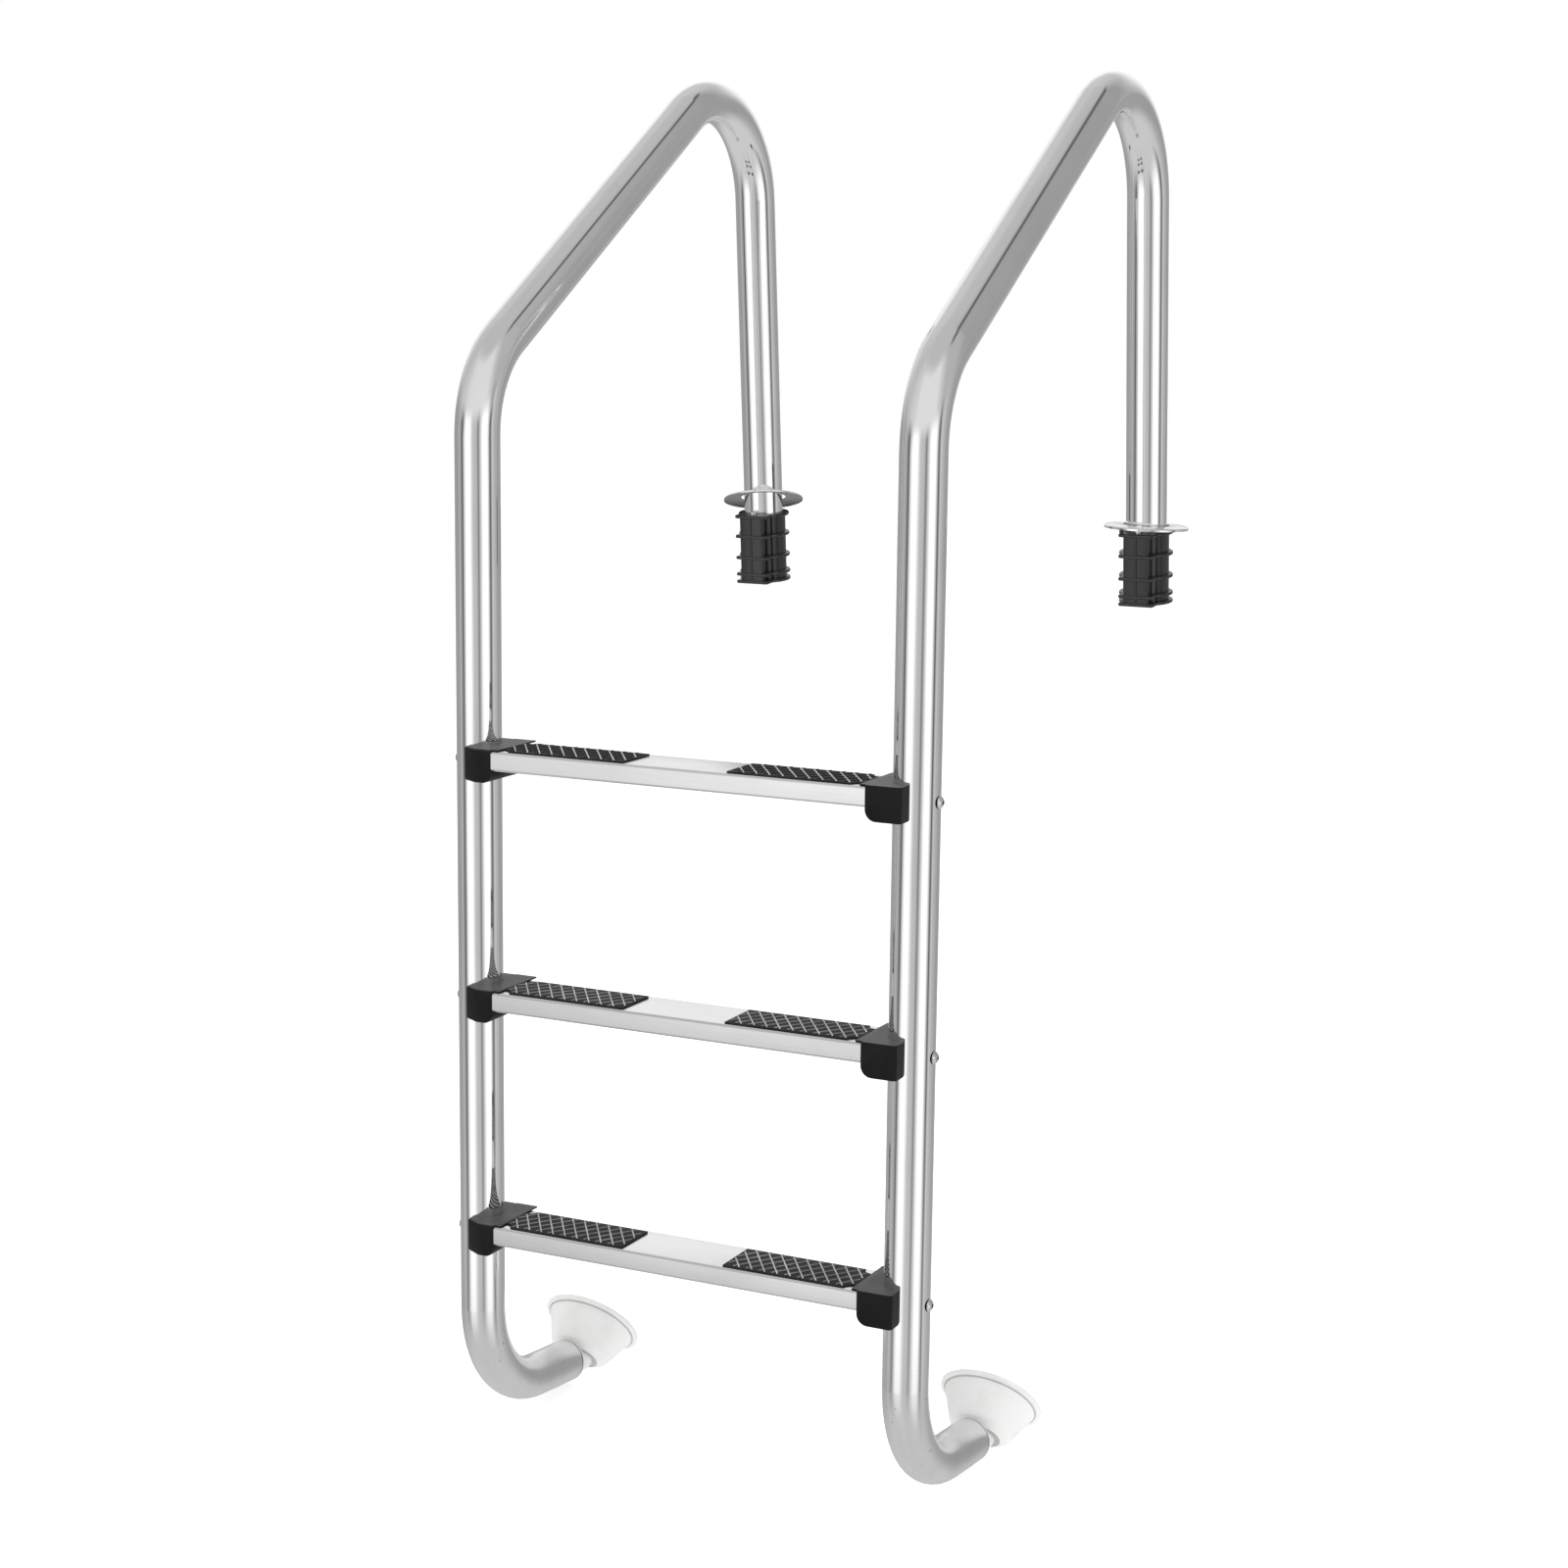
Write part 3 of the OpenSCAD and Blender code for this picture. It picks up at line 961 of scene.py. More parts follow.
def combine(piece: bpy.types.Object, tools: Sequence[bpy.types.Object], operation: str) -> None:
    """Cuts, joins or intersects a piece with tool pieces, which are then removed.

    Args:
        piece: The piece that is changed.
        tools: The tools.
        operation: DIFFERENCE, UNION or INTERSECT.
    """
    for tool in tools:
        change = piece.modifiers.new("combine", "BOOLEAN")
        change.operation = operation
        change.object = tool
        change.solver = "EXACT"
    apply_modifiers(piece)
    for tool in tools:
        bpy.data.objects.remove(tool)


def round_corners(corners: Sequence[Point], radii: Sequence[float], steps: int = 6) -> list[Point]:
    """Rounds the corners of an outline.

    Args:
        corners: Corners of the outline, in order.
        radii: Radius of each corner; 0 keeps it sharp.
        steps: Number of steps round each corner.

    Returns:
        The rounded outline.
    """
    outline: list[Point] = []
    count = len(corners)
    for i, radius in enumerate(radii):
        corner = Vector(corners[i])
        if radius <= 0.0:
            outline.append(tuple(corner))
            continue
        before = (Vector(corners[i - 1]) - corner).normalized()
        after = (Vector(corners[(i + 1) % count]) - corner).normalized()
        half = before.angle(after) / 2.0
        centre = corner + (before + after).normalized() * (radius / math.sin(half))
        start = corner + before * (radius / math.tan(half)) - centre
        turn = start.angle_signed(corner + after * (radius / math.tan(half)) - centre)
        for k in range(steps + 1):
            spun = Matrix.Rotation(-turn * k / steps, 2) @ start
            outline.append(tuple(centre + spun))
    return outline


def circle(radius: float, steps: int = 64) -> list[Point]:
    """Outline of a circle round the origin.

    Args:
        radius: Its radius.
        steps: Number of its corners.

    Returns:
        The outline, anticlockwise.
    """
    angles = [2.0 * math.pi * k / steps for k in range(steps)]
    return [(radius * math.cos(a), radius * math.sin(a)) for a in angles]


def rectangle(x0: float, x1: float, y0: float, y1: float) -> list[Point]:
    """Outline of a rectangle, anticlockwise."""
    return [(x0, y0), (x1, y0), (x1, y1), (x0, y1)]


def side_view() -> Matrix:
    """Turns a prism's XY outline into the YZ plane, and its Z into X."""
    return Matrix(((0, 0, 1, 0), (1, 0, 0, 0), (0, 1, 0, 0), (0, 0, 0, 1)))


def front_view() -> Matrix:
    """Turns a prism's XY outline into the XZ plane, and its Z into -Y."""
    return Matrix(((1, 0, 0, 0), (0, 0, -1, 0), (0, 1, 0, 0), (0, 0, 0, 1)))


def dress(piece: bpy.types.Object, *finishes: Finish) -> None:
    """Gives a piece its finishes, in the order of its material slots.

    Args:
        piece: The piece or CAD node.
        finishes: The finishes.
    """
    if "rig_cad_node" in piece:
        for held in piece.material_slots:
            held.material = finishes[0].material()
        return
    for finish in finishes:
        piece.data.materials.append(finish.material())


def stand_in(piece: bpy.types.Object, node: str, *finishes: Finish) -> None:
    """Dresses a new piece and lets it stand for a CAD node.

    Args:
        piece: The new piece.
        node: The CAD node it replaces.
        finishes: Its finishes.
    """
    dress(piece, *finishes)
    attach(piece, BODY_OF[node])
    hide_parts(node)
    LOG.info("%s stands for %s: %d faces", piece.name, node, len(piece.data.polygons))


def keep_node(name: str, finish: Finish) -> None:
    """Dresses a CAD node that is shown as it is.

    Args:
        name: The node.
        finish: Its finish.
    """
    dress(NODES[name], finish)
    LOG.info("%s keeps its shape", name)


# ---------- The ladder's shared sizes ----------


@dataclass(frozen=True)
class LadderFrame:
    """Sizes that several sub-assemblies share."""

    rail_x: float = 0.254
    tube_r: float = 0.02415
    reach: float = 0.678
    first_drop: float = 0.222
    pitch: float = 0.260
    splay: float = math.radians(4.9)
    bolt_r: float = 0.0031
    bracket_depth: float = 0.081
    bracket_height: float = 0.0364
    plate_width: float = 0.046
    plate_thickness: float = 0.0019

    @property
    def tread_top(self) -> float:
        """Height of a tread's top over its bolts."""
        return self.bracket_height / 2.0 - self.plate_thickness - 0.0001

    @property
    def tread_front(self) -> float:
        """Y of a tread's front edge from the rail's axis."""
        return 0.0015 - self.bracket_depth / 2.0

    def bolt_z(self, row: Row) -> float:
        """Height of a tread's bolts."""
        return -self.first_drop - self.pitch * row.value

    def at_bracket(self, row: Row, side: Side) -> Matrix:
        """Local frame of a bracket: origin on the rail's axis, +X inwards from the rail."""
        place = Matrix.Translation((side.value * self.rail_x, -self.reach, self.bolt_z(row)))
        return place @ Matrix.Diagonal((-side.value, 1.0, 1.0, 1.0))

    def on_leg(self, side: Side) -> Matrix:
        """Local frame of a back leg: origin at deck level, +Z up the leg."""
        place = Matrix.Translation((side.value * self.rail_x, 0.0, 0.0))
        return place @ Matrix.Rotation(self.splay, 4, "X")


FRAME = LadderFrame()


# ---------- Sub-assemblies ----------


@dataclass
class Rails:
    """The two bent tubes."""

    finish: PolishedTube = PolishedTube()

    def build(self) -> None:
        """Dresses both rails."""
        for side in Side:
            keep_node(f"{side.label}_rail", self.finish)


@dataclass
class Treads:
    """The three folded steps: a channel open below, with its lips turned in."""

    depth: float = 0.070
    height: float = 0.021
    sheet: float = 0.0015
    lip: float = 0.009
    fold: float = 0.003
    facing_front: float = -0.7
    finish: TreadSheet = TreadSheet()
    # Finish of the front wall, with painted shade and painted light.
    front: TreadFront = TreadFront()

    def section(self, grow: float = 0.0) -> list[Point]:
        """Section of the channel in the YZ plane of the rail's axis.

        Args:
            grow: Amount by which every face of the sheet is moved outwards.

        Returns:
            The outline.
        """
        front, back = FRAME.tread_front - grow, FRAME.tread_front + self.depth + grow
        top, low = FRAME.tread_top + grow, FRAME.tread_top - self.height - grow
        wall = self.sheet + 2.0 * grow
        lip = self.lip + 2.0 * grow
        outer, inner, tip = self.fold + grow, self.fold - self.sheet, 0.0005
        corners = (
            (front + lip, low), (front, low), (front, top), (back, top), (back, low),
            (back - lip, low), (back - lip, low + wall), (back - wall, low + wall),
            (back - wall, top - wall), (front + wall, top - wall), (front + wall, low + wall),
            (front + lip, low + wall),
        )
        radii = (tip, outer, outer, outer, outer, tip, tip, inner, inner, inner, inner, tip)
        return round_corners(corners, radii, 8)

    def build(self) -> None:
        """Builds and dresses the three treads."""
        for row in Row:
            node = f"{row.label}_tread"
            low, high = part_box(node)
            shape = Shape().prism(self.section(), low.x, high.x).moved(side_view())
            shape.moved(Matrix.Translation((0.0, -FRAME.reach, FRAME.bolt_z(row))))
            # Faces of the front wall take the finish with painted shade and painted light.
            shape.mark(lambda face: face.normal.y < self.facing_front)
            stand_in(shape.piece(f"{node}_sheet", 30.0), node, self.finish, self.front)


@dataclass
class TreadPads:
    """Six rubber pads, each a thin mat with crossing ribs and two round notches."""

    length: float = 0.148
    depth: float = 0.058
    base: float = 0.0018
    notch_r: float = 0.010
    rib_height: float = 0.0009
    rib_width: float = 0.0015
    rib_pitch: float = 0.0147
    rib_angle: float = 34.0
    border: float = 0.002
    from_front: float = 0.004
    gap: float = 0.0001
    rubber: TreadRubber = TreadRubber()
    # Ribs of one way take a painted highlight; ribs of the other way take painted shade on the top
    # pads and a dimmer painted highlight on the lower ones.
    ribs: RibRubber = RibRubber()
    shaded_ribs: ShadedRibRubber = ShadedRibRubber()
    part_rubbed_ribs: PartRubbedRibRubber = PartRubbedRibRubber()

    def outline(self) -> list[Point]:
        """Outline of the mat, with its tongue end at X = 0.

        Returns:
            The outline, anticlockwise.
        """
        half, notch, steps = self.depth / 2.0, self.notch_r, 12
        points: list[Point] = [(-self.length, -half)]
        for side in (-1.0, 1.0):
            for k in range(steps + 1):
                share = k / steps if side < 0 else 1.0 - k / steps
                angle = math.pi - share * math.pi / 2.0
                points.append((notch * math.cos(angle), side * (half - notch * math.sin(angle))))
        points.append((-self.length, half))
        return points

    def in_field(self, x: float, y: float) -> bool:
        """Whether a point lies where ribs are raised.

        Args:
            x: Its place along the mat.
            y: Its place across the mat.

        Returns:
            Whether it is inside the border and clear of the notches.
        """
        half = self.depth / 2.0
        inside = -self.length + self.border <= x <= -self.border and abs(y) <= half - self.border
        return inside and math.hypot(x, half - abs(y)) >= self.notch_r + self.border

    def rib_runs(self, way: int) -> list[tuple[Vector, Vector]]:
        """Ends of the ribs that lean one way.

        Args:
            way: 1 or -1, the way they lean.

        Returns:
            Start and end of each run of rib.
        """
        angle = math.radians(self.rib_angle) * way
        along = Vector((-math.sin(angle), math.cos(angle)))
        step = 0.0004
        reach = int(self.depth / math.cos(angle) / step / 2.0) + 1
        runs = []
        for i in range(math.ceil((self.length + self.depth) / self.rib_pitch) + 1):
            middle = Vector((-self.length - self.depth / 2.0 + self.rib_pitch * i, 0.0))
            held: list[Vector] = []
            for k in range(-reach, reach + 2):
                point = middle + along * step * k
                if k <= reach and self.in_field(point.x, point.y):
                    held.append(point)
                elif held:
                    if (held[-1] - held[0]).length > 4.0 * self.rib_width:
                        runs.append((held[0], held[-1]))
                    held = []
        return runs

    def add_rib(self, shape: Shape, start: Vector, end: Vector) -> None:
        """Adds one round-topped rib that runs out at both ends.

        Args:
            shape: The shape to add to.
            start: One end.
            end: The other end.
        """
        along = (end - start).normalized()
        across = Vector((-along.y, along.x))
        half, sunk = self.rib_width / 2.0, 0.0003
        turns = [math.pi * k / 6.0 for k in range(7)]
        crown = [(-half * math.cos(a), self.rib_height * math.sin(a)) for a in turns]
        arch = [(-half, -sunk), *crown, (half, -sunk)]
        length = (end - start).length
        stations = ((0.0, 0.15), (0.0006, 0.75), (0.0014, 1.0))
        places = list(stations) + [(length - d, h) for d, h in reversed(stations)]
        rings = []
        for distance, share in places:
            centre = start + along * distance
            heights = [self.base + max(v * share, -sunk) for _, v in arch]
            rings.append([Vector((*(centre + across * u), z)) for (u, _), z in zip(arch, heights)])
        shape.loft(rings)

    def mat(self, name: str, place: Matrix, pale_way: int) -> bpy.types.Object:
        """Builds one pad.

        Args:
            name: Name of the piece.
            place: Its local frame.
            pale_way: 1 or -1, the way in which the ribs with the painted highlight lean.

        Returns:
            The pad.
        """
        pad = Shape().prism(self.outline(), 0.0, self.base).piece(f"{name}_mat")
        soften(pad, 0.0006, 3)
        shape = Shape().adopt(pad)
        bpy.data.objects.remove(pad)
        for slot, way in ((1, pale_way), (2, -pale_way)):
            made = len(shape.mesh.faces)
            for start, end in self.rib_runs(way):
                self.add_rib(shape, start, end)
            shape.mesh.faces.ensure_lookup_table()
            for face in shape.mesh.faces[made:]:
                face.material_index = slot
        return shape.moved(place).piece(name, 45.0)

    def build(self) -> None:
        """Builds and dresses the six pads."""
        middle = FRAME.tread_front + self.from_front + self.depth / 2.0
        for row in Row:
            for side in Side:
                node = f"{row.label}_{side.label}_pad"
                inwards = FRAME.plate_width + 3.0 * self.gap
                offset = Vector((inwards, middle, FRAME.tread_top + self.gap))
                place = FRAME.at_bracket(row, side) @ Matrix.Translation(offset)
                place = place @ Matrix.Diagonal((-1.0, 1.0, 1.0, 1.0))
                pad = self.mat(f"{node}_rubber", place, side.value)
                # The other way of ribs: painted shade on the top pads, a dimmer painted highlight
                # below.
                other_way = self.shaded_ribs if row is Row.TOP else self.part_rubbed_ribs
                stand_in(pad, node, self.rubber, self.ribs, other_way)


@dataclass
class Brackets:
    """Six mouldings that clasp the rails and take the tread ends."""

    width: float = 0.0385
    bevel: Point = (0.018, 0.010)
    corner: float = 0.004
    low_corner: float = 0.012
    soft: float = 0.0026
    nut_start: float = 0.033
    nut_r: float = 0.00589
    tread_start: float = 0.028
    gap: float = 0.0001
    finish: BlackMoulding = BlackMoulding()

    def block(self, side: Side) -> bpy.types.Object:
        """Builds the body of a bracket before it is cut.

        Args:
            side: The rail it is for; the corner beside the rail is bevelled at the back on the
                right and at the front on the left.

        Returns:
            The rounded block.
        """
        half, high = FRAME.bracket_depth / 2.0, FRAME.bracket_height / 2.0
        plan = round_corners(
            ((0.0, -half), (self.width, -half), (self.width, half), (self.bevel[0], half),
             (0.0, half - self.bevel[1])),
            (self.corner, 0.0, 0.0, 0.0, 0.0), 8,
        )
        plan = [(x, y * side.value) for x, y in plan]
        front = round_corners(
            ((0.0, -high), (self.width, -high), (self.width, high), (0.0, high)),
            (0.0, self.low_corner, 0.0, 0.0), 12,
        )
        body = Shape().prism(plan, -high, high).piece("bracket_body")
        shell = Shape().prism(front, -0.1, 0.1).moved(front_view()).piece("bracket_front")
        combine(body, [shell], "INTERSECT")
        soften(body, self.soft, 4, 40.0)
        plate = Shape().prism(
            rectangle(self.width / 2.0, FRAME.plate_width, 0.003 - half, half),
            FRAME.tread_top + self.gap, high,
        ).piece("bracket_plate")
        soften(plate, 0.0007, 3)
        combine(body, [plate], "UNION")
        return body

    def cutters(self) -> list[bpy.types.Object]:
        """Builds the shapes of the rail, tread sheet, screw and nut that are cut away.

        Returns:
            The four tools.
        """
        high, past = FRAME.bracket_height, 0.07
        tube = Shape().prism(circle(FRAME.tube_r + self.gap, 128), -high, high)
        lying = (
            (Treads().section(self.gap), self.tread_start - self.gap),
            (circle(FRAME.bolt_r, 32), 0.0),
            (circle(self.nut_r, 6), self.nut_start - self.gap),
        )
        tools = [tube] + [Shape().prism(plan, x, past).moved(side_view()) for plan, x in lying]
        return [tool.piece(f"bracket_cut_{i}") for i, tool in enumerate(tools)]

    def build(self) -> None:
        """Builds and dresses the six brackets."""
        for side in Side:
            body = self.block(side)
            combine(body, self.cutters(), "DIFFERENCE")
            for row in Row:
                node = f"{row.label}_{side.label}_bracket"
                shape = Shape().adopt(body).moved(FRAME.at_bracket(row, side))
                stand_in(shape.piece(f"{node}_moulding", 32.0), node, self.finish)
            bpy.data.objects.remove(body)


@dataclass
class TreadScrews:
    """Three domed screws on each rail, with a hexagonal key socket in the head."""

    seat: float = 0.02425
    head_r: float = 0.007
    head_height: float = 0.0046
    shank_r: float = 0.003
    tip: float = -0.039
    socket_r: float = 0.00231
    socket_depth: float = 0.0024
    socket_edge: float = 0.0006
    rim: float = 0.0005
    point: float = 0.0005
    dome_steps: int = 14
    steel: FastenerSteel = FastenerSteel()
    # Painted shade for the key socket and the rim of the head.
    hollow: ScrewHollow = ScrewHollow()

    def section(self) -> list[Point]:
        """Half section of a screw, with Z outwards from the rail's axis.

        Returns:
            Radius and Z of its corners, from the tip to the top of the head.
        """
        top, shank_end = self.seat + self.head_height, self.tip + self.point
        dome_r = (self.head_r ** 2 + self.head_height ** 2) / (2.0 * self.head_height)
        centre = top - dome_r
        first = math.asin((self.seat + self.rim - centre) / dome_r)
        step = (math.pi / 2.0 - first) / self.dome_steps
        turns = [first + step * k for k in range(self.dome_steps)]
        dome = [(dome_r * math.cos(a), centre + dome_r * math.sin(a)) for a in turns]
        point = ((0.0, self.tip), (self.shank_r - self.point, self.tip), (self.shank_r, shank_end))
        return [*point, (self.shank_r, self.seat), (dome[0][0], self.seat), *dome, (0.0, top)]

    def screw(self) -> bpy.types.Object:
        """Builds one screw with its key socket.

        Returns:
            The screw.
        """
        screw = Shape().lathe(self.section(), 64).piece("screw_body", 35.0)
        floor = self.seat + self.head_height - self.socket_depth
        key = Shape().prism(circle(self.socket_r, 6), floor, floor + 0.01).piece("screw_key")
        combine(screw, [key], "DIFFERENCE")
        return screw

    def is_hollow(self, face: bmesh.types.BMFace) -> bool:
        """Whether a face of a screw takes the painted shade.

        Args:
            face: The face.

        Returns:
            Whether it lies in the key socket or on the rim of the head.
        """
        middle = face.calc_center_median()
        away, height = math.hypot(middle.x, middle.y), middle.z - self.seat
        in_socket = away < self.socket_r and height < self.head_height - self.socket_edge
        return height > -0.0001 and (in_socket or height < self.rim)

    def build(self) -> None:
        """Builds and dresses the screws of both rails."""
        screw = self.screw()
        outwards = Matrix(((0, 0, -1, 0), (0, 1, 0, 0), (1, 0, 0, 0), (0, 0, 0, 1)))
        for side in Side:
            node = f"{side.label}_tread_screws"
            shape = Shape()
            for row in Row:
                place = FRAME.at_bracket(row, side) @ outwards
                one = Shape().adopt(screw).mark(self.is_hollow).moved(place).piece("screw_placed")
                shape.adopt(one)
                bpy.data.objects.remove(one)
            stand_in(shape.piece(f"{node}_set", 35.0), node, self.steel, self.hollow)
        bpy.data.objects.remove(screw)


@dataclass
class Fasteners:
    """Tread nuts, wedges and wedge screws."""

    steel: FastenerSteel = FastenerSteel()
    cast: WedgeMetal = WedgeMetal()

    def build(self) -> None:
        """Dresses every fastener that keeps its CAD shape."""
        for side in Side:
            for kind in ("tread_nuts", "wedge_screw"):
                keep_node(f"{side.label}_{kind}", self.steel)
            keep_node(f"{side.label}_wedge", self.cast)


@dataclass
class Anchors:
    """Two deck sockets: a round socket with a wedge box in front and ribs all round."""

    height: float = 0.0865
    floor: float = 0.004
    socket_r: float = 0.0272
    rib_r: float = 0.032
    rib_thickness: float = 0.004
    rib_drops: tuple[float, ...] = (0.0, 0.025, 0.052, 0.073, 0.0825)
    box_width: float = 0.030
    box_reach: float = 0.0385
    bore_gap: float = 0.0003
    screw_r: float = 0.00308
    screw_y: float = -0.0292
    pocket_half: float = 0.0103
    ridge_x: float = 0.0195
    finish: AnchorMoulding = AnchorMoulding()

    def rib_plan(self) -> list[Point]:
        """Outline of a rib: round behind, square with soft corners in front.

        Returns:
            The outline, anticlockwise.
        """
        half, front = self.box_width / 2.0 + 0.007, self.box_reach + 0.0015
        corner, steps = 0.004, 72
        start = -math.acos(half / self.rib_r)
        sweep = 2.0 * (math.pi / 2.0 - start)
        turns = [start + sweep * k / steps for k in range(steps + 1)]
        arc = [(self.rib_r * math.cos(a), self.rib_r * math.sin(a)) for a in turns]
        ends = ((-half, -0.02), (-half, -front), (half, -front), (half, -0.02))
        return arc + round_corners(ends, (0.0, corner, corner, 0.0), 8)[1:-1]

    def solids(self) -> list[bpy.types.Object]:
        """Builds the rounded solids that the anchor is made of.

        Returns:
            Two ridges, the seam, the wedge box and the ribs.
        """
        half, front = self.box_width / 2.0, self.box_reach
        made = []
        for x in (-self.ridge_x, self.ridge_x):
            plan = rectangle(x - 0.0015, x + 0.0015, -0.020, -0.008)
            made.append(Shape().prism(plan, -self.height, 0.0).piece("anchor_ridge"))
        for name, plan, soft, steps in (
            ("anchor_seam", rectangle(-0.00125, 0.00125, -front - 0.001, 0.003 - front), 0.0005, 2),
            ("anchor_box", rectangle(-half, half, -front, 0.0), 0.001, 3),
        ):
            made.append(Shape().prism(plan, -self.height, 0.0).piece(name))
            soften(made[-1], soft, steps)
        for drop in self.rib_drops:
            rib = Shape().prism(self.rib_plan(), -drop - self.rib_thickness, -drop)
            made.append(rib.piece("anchor_rib"))
            soften(made[-1], 0.0013, 4)
        return made

    def cutters(self) -> list[bpy.types.Object]:
        """Builds the bore, the wedge pocket and the screw hole that are cut away.

        Returns:
            The three tools.
        """
        inside, low, top = self.floor - self.height, -self.height - 0.001, -self.rib_thickness
        bore = Shape().prism(circle(FRAME.tube_r + self.bore_gap, 128), inside, 0.01)
        slope = ((0.0, top), (-0.0332, top), (-0.036, low), (0.0, low))
        pocket = Shape().prism(slope, -self.pocket_half, self.pocket_half).moved(side_view())
        pocket_tool = pocket.piece("anchor_pocket")
        plate = Shape().prism(circle(self.socket_r - 0.006, 96), -0.1, inside)
        combine(pocket_tool, [plate.piece("anchor_floor")], "DIFFERENCE")
        hole = Shape().prism(circle(self.screw_r, 32), -0.005, 0.01)
        hole.moved(Matrix.Translation((0.0, self.screw_y, 0.0)))
        return [bore.piece("anchor_bore"), pocket_tool, hole.piece("anchor_hole")]

    def build(self) -> None:
        """Builds and dresses both anchors."""
        for side in Side:
            node = f"{side.label}_anchor"
            socket = Shape().prism(circle(self.socket_r, 96), -self.height, 0.0)
            body = socket.piece("anchor_socket")
            combine(body, self.solids(), "UNION")
            combine(body, self.cutters(), "DIFFERENCE")
            shape = Shape().adopt(body).moved(FRAME.on_leg(side))
            bpy.data.objects.remove(body)
            stand_in(shape.piece(f"{node}_moulding", 32.0), node, self.finish)


@dataclass
class CoverRings:
    """Two spun cover rings that ride loose on the back legs."""

    outer_r: float = 0.050
    hole_r: float = 0.028
    height: float = 0.005
    sheet: float = 0.0012
    facing_down: float = -0.3
    left_seat: tuple[float, float, float] = (21.0, 25.0, 0.0165)
    right_seat: tuple[float, float, float] = (5.0, -18.0, 0.0042)
    finish: CoverChrome = CoverChrome()
    # Painted shade for the faces that face down.
    underside: CoverUnderside = CoverUnderside()

    def section(self) -> list[Point]:
        """Section of the sheet, from the hole outwards and back.

        Returns:
            Radius and Z of its corners.
        """
        out, hole, high, sheet = self.outer_r, self.hole_r, self.height, self.sheet
        corners = (
            (hole, high - sheet), (0.040, high - sheet), (out - 0.0026, 0.0022),
            (out - sheet, 0.0012), (out - sheet, 0.0), (out, 0.0), (out, 0.0024),
            (out - 0.0014, 0.0034), (0.0404, high), (hole, high),
        )
        radii = (0.0004, 0.006, 0.001, 0.0005, 0.0003, 0.0003, 0.0006, 0.001, 0.008, 0.0004)
        return round_corners(corners, radii, 6)

    def build(self) -> None:
        """Builds and dresses both rings."""
        for side, (tilt, heading, lift) in zip(Side, (self.left_seat, self.right_seat)):
            node = f"{side.label}_escutcheon"
            place = (
                FRAME.on_leg(side)
                @ Matrix.Translation((0.0, 0.0, lift))
                @ Matrix.Rotation(math.radians(heading), 4, "Z")
                @ Matrix.Rotation(-math.radians(tilt), 4, "X")
                @ Matrix.Translation((0.0, 0.0, -self.height / 2.0))
            )
            shape = Shape().lathe(self.section(), 160)
            # Faces that face down take the painted shade.
            shape.mark(lambda face: face.normal.z < self.facing_down)
            ring = shape.moved(place).piece(f"{node}_ring", 35.0)
            stand_in(ring, node, self.finish, self.underside)


@dataclass
class Bumpers:
    """White rubber cups on ball studs, with a plug in each tube end."""

    ball_r: float = 0.019
    ball_gap: float = 0.00008
    mouth: float = -0.0016
    lift: float = 40.0
    reach: float = 0.047
    rim_r: float = 0.0575
    rubber: WhiteRubber = WhiteRubber()
    # Painted shade for the groove under the rim and the mouth.
    grimy: GrimyRubber = GrimyRubber()
    plastic: WhitePlastic = WhitePlastic()

    def section(self) -> list[Point]:
        """Section of a cup, with Z from the ball's centre to the wall face.

        Returns:
            Radius and Z of its corners.
        """
        face, rim, low = self.reach, self.rim_r, self.mouth
        seat_r = self.ball_r + self.ball_gap
        turns = (
            (math.sqrt(seat_r ** 2 - low ** 2), low, 0.0), (0.025, low, 0.001),
            (0.031, 0.0022, 0.003), (0.0346, 0.0046, 0.002), (0.0364, 0.0076, 0.003),
            (0.0516, face - 0.006, 0.0012), (0.053, face - 0.005, 0.0012),
            (rim - 0.001, face - 0.0046, 0.0008), (rim, face - 0.0038, 0.0008),
            (rim, face - 0.0006, 0.0), (rim - 0.0006, face, 0.0005), (rim - 0.009, face, 0.0015),
            (0.038, face - 0.018, 0.004), (0.033, face - 0.021, 0.004), (0.0, face - 0.021, 0.0),
            (0.0, seat_r, 0.0),
        )
        skirt = round_corners([turn[:2] for turn in turns], [turn[2] for turn in turns], 6)
        steps, first = 20, math.asin(low / seat_r)
        arc = [math.pi / 2.0 - (math.pi / 2.0 - first) * k / steps for k in range(1, steps)]
        return skirt + [(seat_r * math.cos(a), seat_r * math.sin(a)) for a in arc]

    def in_groove(self, face: bmesh.types.BMFace) -> bool:
        """Whether a face of a cup takes the painted shade.

        Args:
            face: The face.

        Returns:
            Whether it lies in the groove under the rim or on the mouth.
        """
        middle = face.calc_center_median()
        away, below = math.hypot(middle.x, middle.y), self.reach - middle.z
        return (0.0514 < away < 0.0545 and 0.0044 < below < 0.0072) or middle.z < -0.0008

    def build(self) -> None:
        """Builds the cups and dresses the plugs and ball studs."""
        for side in Side:
            low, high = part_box(f"{side.label}_ball_stud")
            middle = (low + high) / 2.0
            ball = Vector((middle.x, high.y - self.ball_r, middle.z))
            tip_back = Matrix.Rotation(math.radians(self.lift - 90.0), 4, "X")
            place = Matrix.Translation(ball) @ tip_back
            node = f"{side.label}_bumper_cup"
            cup = Shape().lathe(self.section(), 160).mark(self.in_groove).moved(place)
            stand_in(cup.piece(f"{node}_rubber", 35.0), node, self.rubber, self.grimy)
            keep_node(f"{side.label}_end_plug", self.plastic)
            keep_node(f"{side.label}_ball_stud", self.plastic)


